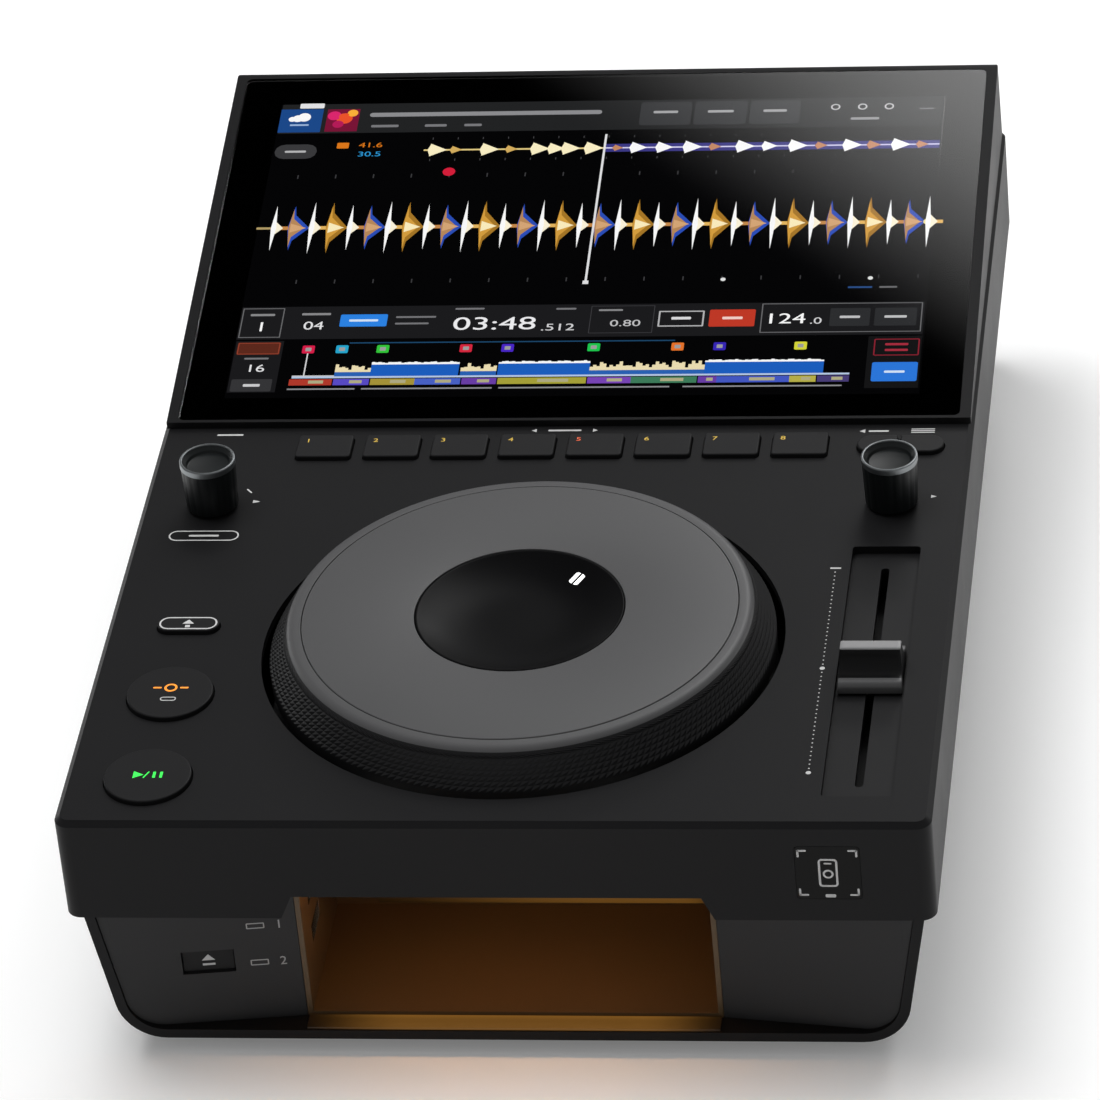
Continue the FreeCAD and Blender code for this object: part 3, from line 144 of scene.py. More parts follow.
# polycarbonate tinted brown: the brown also holds part of the bay lamp's amber light as painted light, and it keeps
# a soft gloss
linerMaterial = mouldedGrain(newMaterial("polycarbonate brown with painted amber light", liner["colour"], liner["roughness"],
                                         Specular_IOR_Level=liner["gloss"]),
                             0.6, 0.01, liner["roughness"], 0.05)
# paint on aluminium: even satin grey, lighter where the studio's window lies in it
plateMaterial = mouldedGrain(newMaterial("aluminium painted satin grey", plateFinish["colour"],
                                         plateFinish["roughness"], Specular_IOR_Level=plateFinish["gloss"]),
                             0.3, 0.006, plateFinish["roughness"], 0.04, 0.03)
# moulded grip: small studs catch the light one by one on a black ground
skirtMaterial = mouldedGrain(newMaterial("ABS studded grip black", "#1a1a1b", 0.5, Specular_IOR_Level=0.2),
                             0.3, 0.01, 0.5, 0.04)
# satin lacquer: deep black, with soft windows of light in the hollow
dishMaterial = mouldedGrain(newMaterial("ABS satin lacquer black", "#050506", 0.4, Specular_IOR_Level=0.08),
                            3.0, 0.01, 0.4, 0.03)
# silicone rubber: matt, a touch lighter than the case
keyMaterial = mouldedGrain(newMaterial("silicone rubber matt grey", "#1e1e1f", 0.55, Specular_IOR_Level=0.15),
                           0.35, 0.012, 0.55, 0.04)
# moulded key caps: as the case, from a finer mould
roundKeyMaterial = mouldedGrain(newMaterial("ABS fine eroded grey", "#1b1b1c", 0.48, Specular_IOR_Level=0.15),
                                0.35, 0.01, 0.48, 0.03)
# soft-touch coating: near black with a breath of blue-green
knobMaterial = mouldedGrain(newMaterial("ABS soft touch graphite", "#121516", 0.42, Specular_IOR_Level=0.35),
                            0.3, 0.008, 0.42, 0.05)
# turned aluminium: a bright line round the knob, faintly streaked
trimMaterial = mouldedGrain(newMaterial("aluminium turned satin", "#8d9193", 0.4, Metallic=1.0), 0.4, 0.006,
                            0.4, 0.06, 0.08, 6.0)
# fader cap: moulded black scoops, toes of the same black plastic painted grey as a painted highlight, a painted
# ridge that shows its place
faderBlackMaterial = mouldedGrain(newMaterial("ABS moulded black", "#0b0b0c", 0.4, Specular_IOR_Level=0.25),
                                  0.3, 0.008, 0.4, 0.04)
faderToeHighlightMaterial = mouldedGrain(newMaterial("ABS black toe painted highlight grey", "#4c4c4d", 0.42, Specular_IOR_Level=0.4),
                                0.3, 0.008, 0.42, 0.04)
faderLightMaterial = mouldedGrain(newMaterial("ABS painted light grey", "#868687", 0.45), 0.3, 0.006, 0.45, 0.05)
# powder coat: a fine orange peel, matt
wellMaterial = mouldedGrain(newMaterial("steel powder coated black", "#1a1a1b", 0.5, Specular_IOR_Level=0.16),
                            0.45, 0.02, 0.5, 0.04)
# moulded rubber: no gloss at all
rubberMaterial = mouldedGrain(newMaterial("rubber moulded black", "#161617", 0.75, Specular_IOR_Level=0.3),
                              0.6, 0.03, 0.75, 0.06)
# zinc plate: blue-grey and a little cloudy
steelMaterial = mouldedGrain(newMaterial("steel zinc plated", "#b9bbbd", 0.32, Metallic=1.0), 0.5, 0.01, 0.32,
                             0.08, 0.1, 8.0)
# nickel plate: warm and clear
nickelMaterial = mouldedGrain(newMaterial("steel nickel plated", "#cfcdc8", 0.22, Metallic=1.0), 0.8, 0.006,
                              0.22, 0.05, 0.06, 10.0)


def socketFinish():
    # nickel plated rims and barrels, black moulding inside the mouths
    material = newMaterial("steel nickel plated over black moulding", "#cfcdc8", 0.24)
    place = addNode(material, "ShaderNodeTexCoord").outputs["Object"]
    axes = addNode(material, "ShaderNodeSeparateXYZ", {"Vector": place})
    cloud = addNode(material, "ShaderNodeTexNoise", {"Vector": place}, {"Scale": perMetre(6.0), "Detail": 3.0})
    plated = addNode(material, "ShaderNodeMapRange", {"Value": axes.outputs["Y"]},
                     {"From Min": 0.1781, "From Max": 0.1786, "To Min": 0.0, "To Max": 1.0}).outputs["Result"]
    nickel = addNode(material, "ShaderNodeMix", {"Factor": cloud.outputs["Fac"]}, data_type="RGBA")
    nickel.inputs["A"].default_value = linearColour("#b9b6b0")
    nickel.inputs["B"].default_value = linearColour("#d4d2cd")
    shade = addNode(material, "ShaderNodeMix", {"Factor": plated}, data_type="RGBA")
    shade.inputs["A"].default_value = linearColour("#121213")
    material.node_tree.links.new(nickel.outputs["Result"], shade.inputs["B"])
    connect(material, shade.outputs["Result"], "Base Color")
    connect(material, plated, "Metallic")
    return material


socketMaterial = socketFinish()
# polypropylene rings that tell the phono sockets apart
collarMaterials = [mouldedGrain(newMaterial("polypropylene " + word, code, 0.45), 0.5, 0.006, 0.45, 0.04)
                   for word, code in (("white", "#d9d8d4"), ("red", "#a8231f"), ("black", "#19191a"))]
# nylon: black and waxy
innerMaterial = mouldedGrain(newMaterial("nylon moulded black", "#161617", 0.5, Specular_IOR_Level=0.3), 0.6,
                             0.02, 0.5, 0.05)
# solder mask: green lacquer that varies with the copper under it
boardMaterial = mouldedGrain(newMaterial("circuit board solder mask", "#12401f", 0.35), 1.2, 0.02, 0.35, 0.08,
                             0.35, 6.0)
# screen print: flat white, and a greyer one on the upright faces
printMaterial = mouldedGrain(newMaterial("ink screen printed white", "#c4c4c4", 0.55), 0.3, 0.004, 0.55, 0.03)
dimPrintMaterial = mouldedGrain(newMaterial("ink screen printed grey", "#a4a4a5", 0.55), 0.3, 0.004, 0.55, 0.03)
# black ink on the back of the glass: swallows the light that gets through
filmMaterial = mouldedGrain(newMaterial("ink behind glass black", "#010101", 0.5, Specular_IOR_Level=0.0), 0.6,
                            0.002, 0.5, 0.02)
# polished acrylic: black with sharp reflections
windowMaterial = mouldedGrain(newMaterial("acrylic black gloss", "#030303", 0.16, Specular_IOR_Level=0.12), 4.0,
                              0.004, 0.16, 0.02)

# float glass: clear, sharp reflections
glassMaterial = newMaterial("glass float clear", "#ffffff", 0.02, Transmission_Weight=1.0, IOR=1.5)


def litMaterial(name, colour, strength):
    # a lamp behind a diffuser: even light, a little less at the grain's hollows
    material = newMaterial(name, colour, 0.5)
    place = addNode(material, "ShaderNodeTexCoord").outputs["Object"]
    grain = addNode(material, "ShaderNodeTexNoise", {"Vector": place}, {"Scale": perMetre(2.0), "Detail": 2.0})
    level = addNode(material, "ShaderNodeMapRange", {"Value": grain.outputs["Fac"]},
                    {"From Min": 0.3, "From Max": 0.7, "To Min": strength * 0.94, "To Max": strength * 1.06})
    mainShader(material).inputs["Emission Color"].default_value = linearColour(colour)
    connect(material, level.outputs["Result"], "Emission Strength")
    return material


def lampFinish():
    # the bar is lit from its lower face only: no light leaks up into the case
    material = litMaterial("polycarbonate diffuser lit amber", lamp["colour"], lamp["strength"])
    place = addNode(material, "ShaderNodeTexCoord").outputs["Object"]
    axes = addNode(material, "ShaderNodeSeparateXYZ", {"Vector": place})
    low, high = lamp["litBelow"]
    below = addNode(material, "ShaderNodeMapRange", {"Value": axes.outputs["Z"]},
                    {"From Min": low / 1000, "From Max": high / 1000, "To Min": lamp["strength"], "To Max": 0.0})
    connect(material, below.outputs["Result"], "Emission Strength")
    return material


lampMaterial = lampFinish()
greenMaterial = litMaterial("key mark lit green", "#2fd048", 0.9)
orangeMaterial = litMaterial("key mark lit orange", "#e08428", 0.8)
amberMaterial = litMaterial("key mark lit amber", "#b89a3c", 0.55)
redMaterial = litMaterial("key mark lit red", "#d05a38", 0.6)
whiteLightMaterial = litMaterial("marker lit white", "#ffffff", 0.95)

# display pixels: each patch gives off the colour held in the mesh
pixelMaterial = newMaterial("liquid crystal display lit", "#000000", 0.5, Specular_IOR_Level=0.0)
pixelTint = addNode(pixelMaterial, "ShaderNodeVertexColor", layer_name="tint")
connect(pixelMaterial, pixelTint.outputs["Color"], "Emission Color")
mainShader(pixelMaterial).inputs["Emission Strength"].default_value = 1.0

print("materials made:", len(bpy.data.materials))

nodeFinish = {
    "top_case": caseMaterial, "display_housing": caseMaterial, "bottom_shell": shellMaterial,
    "left_bezel": bezelPaintedLightMaterial, "right_bezel": bezelPaintedLightMaterial, "usb_bay": linerMaterial,
    "bay_lamp": lampMaterial, "usb_board": boardMaterial, "pad_window": windowMaterial,
    "pad_board": boardMaterial, "display_glass": glassMaterial, "display_panel": filmMaterial,
    "display_bracket": steelMaterial, "jog_base": innerMaterial, "jog_bearings": nickelMaterial,
    "jog_sensor": innerMaterial, "jog_shaft": steelMaterial, "jog_encoder_ring": innerMaterial,
    "fader_plate": wellMaterial, "fader_body": innerMaterial, "fader_lever": innerMaterial,
    "encoder_cases": innerMaterial, "key_switches": innerMaterial, "left_key_board": boardMaterial,
    "right_key_board": boardMaterial, "eject_key": roundKeyMaterial, "eject_board": boardMaterial,
    "main_board": boardMaterial, "power_board": boardMaterial, "power_key": roundKeyMaterial,
    "mains_inlet": innerMaterial, "rear_jacks": socketMaterial, "rear_panel": wellMaterial,
    "feet": rubberMaterial, "case_screws": steelMaterial, "board_screws": steelMaterial,
    "usb_sockets": nickelMaterial, "play_key": roundKeyMaterial, "cue_key": roundKeyMaterial,
    "shift_key": roundKeyMaterial, "back_key": roundKeyMaterial, "menu_key": roundKeyMaterial,
    "left_encoder_shaft": steelMaterial, "right_encoder_shaft": steelMaterial,
    "left_encoder_plunger": innerMaterial, "right_encoder_plunger": innerMaterial,
}
for number in range(1, 9):
    nodeFinish["hot_cue_key_%d" % number] = keyMaterial
for nodeName, finish in nodeFinish.items():
    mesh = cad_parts[nodeName].data
    mesh.materials.clear()
    mesh.materials.append(finish)


# pieces

def keepPiece(bm, name, materials, body, nodes=(), smooth=None, outwards=True):
    # turns a bmesh that is in millimetres into a finished piece that rides a body
    bmesh.ops.remove_doubles(bm, verts=bm.verts, dist=0.001)
    if outwards:
        bmesh.ops.recalc_face_normals(bm, faces=bm.faces)
    bmesh.ops.scale(bm, vec=(0.001, 0.001, 0.001), verts=bm.verts)
    mesh = bpy.data.meshes.new(name)
    bm.to_mesh(mesh)
    bm.free()
    if smooth is not None:
        mesh.shade_smooth()
        mesh.set_sharp_from_angle(angle=math.radians(smooth))
    piece = bpy.data.objects.new(name, mesh)
    bpy.context.scene.collection.objects.link(piece)
    for material in materials:
        mesh.materials.append(material)
    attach(piece, body)
    if nodes:
        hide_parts(*nodes)
    return piece


def deckPlace(x, back, height=0.0):
    return Matrix.Translation((x, caseFront + back, deckTop + height))


def spinProfile(bm, profile, steps, place):
    # turns a line of (radius, height) points about the vertical axis
    corners = [bm.verts.new((radius, 0, height)) for radius, height in profile]
    lines = [bm.edges.new(pair) for pair in zip(corners, corners[1:])]
    bmesh.ops.spin(bm, geom=corners + lines, cent=(0, 0, 0), axis=(0, 0, 1), angle=math.tau, steps=steps,
                   use_merge=True, use_duplicate=False)
    bmesh.ops.remove_doubles(bm, verts=bm.verts, dist=0.001)
    bmesh.ops.transform(bm, matrix=place, verts=bm.verts)


def roundTurn(profile, radii, parts=5):
    # rounds the corners of a line of points; a radius of 0 leaves a corner sharp
    line = []
    for index, point in enumerate(profile):
        radius = radii.get(index, 0)
        here = Vector(point)
        if not radius or index in (0, len(profile) - 1):
            line.append(here)
            continue
        back = (Vector(profile[index - 1]) - here).normalized()
        ahead = (Vector(profile[index + 1]) - here).normalized()
        angle = back.angle(ahead)
        reach = radius / math.tan(angle / 2)
        centre = here + (back + ahead).normalized() * (radius / math.sin(angle / 2))
        start, end = here + back * reach - centre, here + ahead * reach - centre
        for step in range(parts + 1):
            # slerp gives a direction of length 1
            line.append(centre + start.slerp(end, step / parts) * radius)
    return [tuple(point) for point in line]


jogBack = 86.7
jogWheel = {"steps": 216, "rings": 7, "stud": 0.36, "rimRadius": 66.9, "footRadius": 72.8}


def buildJogWheel():
    # the skirt's grip is a band of small pyramids, each row turned half a stud from the next
    wheel = jogWheel
    bm = bmesh.new()
    foot, rim = Vector((wheel["footRadius"], 0.4)), Vector((wheel["rimRadius"] + 0.35, 9.5))
    band = [tuple(foot.lerp(rim, step / wheel["rings"])) for step in range(wheel["rings"] + 1)]
    profile = [(70.4, -3.5), (72.8, -3.5), (72.8, -0.1)] + band
    profile += [(67.0, 10.0), (66.6, 10.5), (66.1, 10.9), (65.5, 11.2), (64.8, 11.32), (62.85, 11.32), (62.85, 9.9),
                (30.3, 9.9), (30.3, 5.5), (4.0, 5.5), (4.0, -2.4), (12.0, -2.4), (12.0, 3.1), (32.5, 3.1),
                (32.5, 7.5), (64.5, 7.5), (70.4, -0.2)]
    profile.append(profile[0])
    spinProfile(bm, profile, wheel["steps"], Matrix())
    turn = math.tau / wheel["steps"] / 2
    for index, (radius, height) in enumerate(band[1:-1], start=1):
        ring = [v for v in bm.verts if abs(v.co.z - height) < 0.01 and abs(v.co.xy.length - radius) < 0.05]
        bmesh.ops.rotate(bm, cent=(0, 0, 0), matrix=Matrix.Rotation(turn * index, 3, "Z"), verts=ring)
    bmesh.ops.recalc_face_normals(bm, faces=bm.faces)
    cells = [f for f in bm.faces
             if 0.4 < f.calc_center_median().z < 9.5 and f.calc_center_median().xy.length > 67.25]
    bmesh.ops.poke(bm, faces=cells, offset=wheel["stud"], center_mode="MEAN")
    for f in bm.faces:
        middle = f.calc_center_median()
        if middle.z > 10.2 and middle.xy.length > 62.7:
            f.material_index = 1  # the ring outside the top plate is painted like it
    bmesh.ops.transform(bm, matrix=deckPlace(0, jogBack), verts=bm.verts)
    keepPiece(bm, "jogWheel", [skirtMaterial, plateMaterial], "jog", ["jog_platter"], 28)


def buildJogPlate():
    bm = bmesh.new()
    profile = roundTurn([(62.6, 9.9), (62.6, 11.5), (30.3, 11.5), (30.3, 9.9), (62.6, 9.9)], {1: 0.35, 2: 0.25})
    spinProfile(bm, profile, 256, deckPlace(0, jogBack))
    keepPiece(bm, "jogTopPlate", [plateMaterial], "jog", ["jog_top_plate"], 30)


jogDish = {"rim": 11.4, "floor": 7.3, "flat": 9.0, "edge": 29.2, "curve": 2.3}


def dishHeight(radius):
    share = max(0.0, (radius - jogDish["flat"]) / (jogDish["edge"] - jogDish["flat"]))
    return jogDish["floor"] + (jogDish["rim"] - 0.15 - jogDish["floor"]) * share ** jogDish["curve"]


def buildJogDish():
    bm = bmesh.new()
    bowl = [(radius, dishHeight(radius)) for radius in (29.2, 28.6, 27.8, 26.8, 25.4, 23.6, 21.4, 18.8, 15.6, 12.0,
                                                        8.0, 4.0, 0.0)]
    profile = [(0, 5.5), (30.1, 5.5), (30.1, 11.1), (29.9, 11.35), (29.6, 11.4)] + bowl
    spinProfile(bm, profile, 192, deckPlace(0, jogBack))
    keepPiece(bm, "jogDish", [dishMaterial], "jog", ["jog_cap"], 50)


knob = {"x": 101.0, "back": 156.9, "flutes": 18, "depth": 0.22}


def buildKnob(side, word):
    place = deckPlace(side * knob["x"], knob["back"])
    bm = bmesh.new()
    # bore, grip, then the hollow top
    profile = [(0, 12.5), (3.0, 12.5), (3.0, 0.8)] + roundTurn(
        [(3.0, 0.8), (7.7, 0.8), (8.15, 14.9), (7.6, 15.2), (7.5, 16.35), (6.5, 15.4), (6.1, 14.5), (0, 14.2)],
        {1: 0.5, 5: 0.3, 6: 0.4}, 4)[1:]
    spinProfile(bm, profile, 120, Matrix())
    for v in bm.verts:
        if v.co.z < 14.8 and v.co.xy.length > 6.5:
            wave = max(0.0, math.cos(knob["flutes"] * math.atan2(v.co.y, v.co.x)))
            v.co.xy *= 1 - knob["depth"] * wave / v.co.xy.length
    bmesh.ops.transform(bm, matrix=place, verts=bm.verts)
    keepPiece(bm, word + "KnobGrip", [knobMaterial], word + "_turn", [word + "_knob"], 35)
    # turned ring: an upright band with a rolled top edge
    bm = bmesh.new()
    profile = roundTurn([(7.45, 15.0), (8.3, 15.0), (8.3, 16.9), (7.45, 16.9), (7.45, 15.0)], {2: 0.4, 3: 0.3}, 4)
    spinProfile(bm, profile, 120, place)
    keepPiece(bm, word + "KnobRing", [trimMaterial], word + "_turn", (), 40)


faderCap = {"back": 73.7, "x": 101.1, "length": 20.0, "base": 18.4, "top": 17.2, "height": 8.4}


def buildFaderCap():
    # a sheet that is folded into ridge, scoops and toes, then given its skirt
    cap = faderCap
    bm = bmesh.new()
    rows = 60
    bmesh.ops.create_grid(bm, x_segments=14, y_segments=rows, size=0.5)
    half = cap["length"] / 2
    for v in bm.verts:
        y = v.co.y * cap["length"]
        reach = abs(y)
        if reach <= 2.1:
            z = cap["height"] - 0.25 * (reach / 2.1) ** 4
        elif reach < 7.0:
            share = (7.0 - reach) / 4.9
            z = 1.6 + (cap["height"] - 1.85) * (1 - math.sqrt(max(0.0, 1 - share ** 2)))
        else:
            z = 1.6 - 1.5 * max(0.0, (reach - 8.4) / 1.6) ** 2
        width = cap["base"] + (cap["top"] - cap["base"]) * (z + 1.7) / 10.1
        v.co = Vector((v.co.x * width, y, z))
    rim = [e for e in bm.edges if e.is_boundary]
    skirt = bmesh.ops.extrude_edge_only(bm, edges=rim)["geom"]
    for v in skirt:
        if isinstance(v, bmesh.types.BMVert):
            v.co.x = math.copysign(cap["base"] / 2, v.co.x) if abs(v.co.x) > 8.0 else v.co.x
            v.co.z = -1.7
    bmesh.ops.holes_fill(bm, edges=[e for e in bm.edges if e.is_boundary])
    bmesh.ops.recalc_face_normals(bm, faces=bm.faces)
    long = [e for e in bm.edges if len(e.link_faces) == 2 and e.calc_face_angle(0) > 0.9
            and e.verts[0].co.z > -1 and e.verts[1].co.z > -1]
    bmesh.ops.bevel(bm, geom=long, offset=0.35, offset_type="OFFSET", segments=2, profile=0.5,
                    affect="EDGES", material=-1)
    for f in bm.faces:
        middle = f.calc_center_median()
        if abs(middle.y) < 2.1 and middle.z > 7.9:
            f.material_index = 1
        # the toes' tops: the black plastic painted grey as a painted highlight
        elif abs(middle.y) > 6.9 and middle.z > -0.9:
            f.material_index = 2
    bmesh.ops.transform(bm, matrix=deckPlace(cap["x"], cap["back"]), verts=bm.verts)
    finishes = [faderBlackMaterial, faderLightMaterial, faderToeHighlightMaterial]
    keepPiece(bm, "faderCap", finishes, "tempo",
              ["fader_cap"], 40)


buildJogWheel()
buildJogPlate()
buildJogDish()
for side, word in ((-1, "left"), (1, "right")):
    buildKnob(side, word)
buildFaderCap()


socketCollar = {"x": (34.0, 47.0, 61.0), "height": 29.0, "bore": 1.75, "radius": 3.3, "end": 184.1, "proud": 0.12}


def buildSocketCollars():
    collar = socketCollar
    deep, face = collar["end"] - 0.6, collar["end"] + collar["proud"]
    for index, x in enumerate(collar["x"]):
        bm = bmesh.new()
        profile = roundTurn([(collar["bore"], deep), (collar["radius"], deep), (collar["radius"], face),
                             (collar["bore"], face), (collar["bore"], deep)], {2: 0.1, 3: 0.1}, 3)
        lie = Matrix.Translation((x, 0, collar["height"])) @ Matrix.Rotation(math.radians(-90), 4, "X")
        spinProfile(bm, profile, 48, lie)
        keepPiece(bm, "socketCollar%d" % (index + 1), [collarMaterials[index]], "cabinet", (), 40)


buildSocketCollars()
print("turned pieces made")


# flat marks: ink and lit signs

def flatShape(bm, place, width, height, corner=0.0, line=0.0, segments=5):
    # a rectangle with rounded corners; with a line width, only its outline
    before = set(bm.faces)
    size = Matrix.Diagonal((width, height, 1, 1))
    made = bmesh.ops.create_grid(bm, x_segments=1, y_segments=1, size=0.5, matrix=place @ size)
    if corner:
        bmesh.ops.bevel(bm, geom=made["verts"], offset=min(corner, min(width, height) * 0.499),
                        offset_type="OFFSET", segments=segments, profile=0.5, affect="VERTICES", material=-1)
    faces = [f for f in bm.faces if f not in before]
    return outlined(bm, faces, line) if line else faces


def outlined(bm, faces, line):
    # keeps only a band along the faces' border
    band = bmesh.ops.inset_region(bm, faces=faces, thickness=line, use_even_offset=True, use_boundary=True)["faces"]
    bmesh.ops.delete(bm, geom=[f for f in faces if f.is_valid], context="FACES")
    return [f for f in band if f.is_valid]


def flatTriangle(bm, place, width, height):
    # points along its own X
    size = Matrix.Diagonal((width, height, 1, 1))
    made = bmesh.ops.create_circle(bm, cap_ends=True, segments=3, radius=0.62, matrix=place @ size @ Matrix.Rotation(
        math.radians(-90), 4, "Z"))
    return list({f for v in made["verts"] for f in v.link_faces})


def flatDisc(bm, place, radius, line=0.0, segments=32):
    made = bmesh.ops.create_circle(bm, cap_ends=True, segments=segments, radius=radius, matrix=place)
    faces = list({f for v in made["verts"] for f in v.link_faces})
    return outlined(bm, faces, line) if line else faces


def numberMesh(text, height, centred=True):
    # plain figures as a flat mesh, in millimetres, standing on the XY plane
    curve = bpy.data.curves.new("figures", "FONT")
    curve.body = text
    curve.size = height * 1.38
    curve.align_x = "CENTER" if centred else "LEFT"
    curve.align_y = "CENTER"
    holder = bpy.data.objects.new("figures", curve)
    bpy.context.scene.collection.objects.link(holder)
    bpy.context.view_layer.update()
    mesh = bpy.data.meshes.new_from_object(holder)
    bpy.data.objects.remove(holder)
    bpy.data.curves.remove(curve)
    return mesh


def addNumber(bm, text, place, height, centred=True, widen=1.0):
    mesh = numberMesh(text, height, centred)
    before = set(bm.faces)
    mesh.transform(place @ Matrix.Diagonal((widen, 1, 1, 1)))
    bm.from_mesh(mesh)
    bpy.data.meshes.remove(mesh)
    return [f for f in bm.faces if f not in before]


inkThickness = 0.04


def keepMark(bm, name, material, body):
    # ink has a thickness, half of it sunk in what carries it
    bmesh.ops.remove_doubles(bm, verts=bm.verts, dist=0.0005)
    bmesh.ops.solidify(bm, geom=bm.faces[:], thickness=inkThickness)
    return keepPiece(bm, name, [material], body)


def deckMark(x, back, height=0.02):
    return deckPlace(x, back, height)


def facing(origin, turn=0.0):
    # an upright plane that looks to the front, turned about the vertical
    return Matrix.Translation(origin) @ Matrix.Rotation(math.radians(turn), 4, "Z") @ Matrix.Rotation(
        math.radians(90), 4, "X")


def buildDeckInk():
    bm = bmesh.new()
    # printed outline below the left knob, and the marks above and beside the keys
    flatShape(bm, deckMark(-101.4, 141.2), 21.0, 5.2, 2.6, 0.45, 8)
    flatShape(bm, deckMark(-101.4, 141.2), 9.0, 0.9, 0.3)
    flatShape(bm, deckMark(-101.6, 194.8), 8.0, 0.8, 0.3)
    flatShape(bm, deckMark(0, 196.2), 10.0, 0.8, 0.3)
    flatTriangle(bm, deckMark(-9.0, 196.2) @ Matrix.Rotation(math.pi, 4, "Z"), 1.6, 1.6)
    flatTriangle(bm, deckMark(9.0, 196.2), 1.6, 1.6)
    flatShape(bm, deckMark(94.4, 194.8), 6.0, 0.8, 0.3)
    flatTriangle(bm, deckMark(89.8, 194.8) @ Matrix.Rotation(math.pi, 4, "Z"), 1.8, 1.8)
    for row in range(3):
        flatShape(bm, deckMark(107.6, 194.0 + row * 0.9), 7.0, 0.45, 0.1)
    # turn marks beside the knobs
    flatTriangle(bm, deckMark(-88.6, 159.0), 2.4, 1.6)
    flatShape(bm, deckMark(-91.2, 164.6) @ Matrix.Rotation(math.radians(40), 4, "Z"), 0.5, 2.6, 0.2)
    flatTriangle(bm, deckMark(112.8, 160.0), 1.8, 1.4)
    # travel scale of the tempo fader
    for step in range(51):
        back = 24.0 + step * 99.3 / 50
        if step in (0, 25):
            flatDisc(bm, deckMark(87.0, back), 0.75, 0, 20)
        elif step == 50:
            flatShape(bm, deckMark(87.0, back), 3.2, 0.7, 0.2)
        else:
            flatDisc(bm, deckMark(87.0, back), 0.24, 0, 10)
    keepMark(bm, "deckInk", printMaterial, "cabinet")


def buildLipAndBezelInk():
    bm = bmesh.new()
    angle = math.degrees(math.atan2(6.4, 54.0))
    for height, text in ((41.2, "1"), (28.2, "2")):
        x = -64.5
        setback = 5.6 + (112 - abs(x)) / 54.0 * 6.4
        origin = Vector((x, caseFront + setback - 0.02, height))
        addNumber(bm, text, facing(origin, angle), 3.0)
        x = -71.2
        setback = 5.6 + (112 - abs(x)) / 54.0 * 6.4
        flatShape(bm, facing(Vector((x, caseFront + setback - 0.02, height)), angle), 5.2, 2.0, 0.3, 0.35)
    keepMark(bm, "bezelInk", dimPrintMaterial, "cabinet")
    bm = bmesh.new()
    # sign on the window: corner brackets, a pocket device and a bar
    face = facing(Vector((93.4, caseFront - 0.02, deckTop - 16.5)))
    for sx in (-1, 1):
        for sy in (-1, 1):
            flatShape(bm, face @ Matrix.Translation((sx * 7.0, sy * 7.6, 0)), 2.6, 0.6, 0.25)
            flatShape(bm, face @ Matrix.Translation((sx * 8.1, sy * 6.6, 0)), 0.6, 2.4, 0.25)
    flatShape(bm, face, 5.4, 9.6, 1.1, 0.6, 4)
    flatDisc(bm, face @ Matrix.Translation((0, -0.4, 0)), 1.5, 0.55, 24)
    flatShape(bm, face @ Matrix.Translation((0, 3.2, 0)), 2.2, 0.5, 0.2)
    flatShape(bm, face @ Matrix.Translation((0.3, -7.9, 0)), 2.9, 1.1, 0.4)
    keepMark(bm, "padSign", printMaterial, "cabinet")


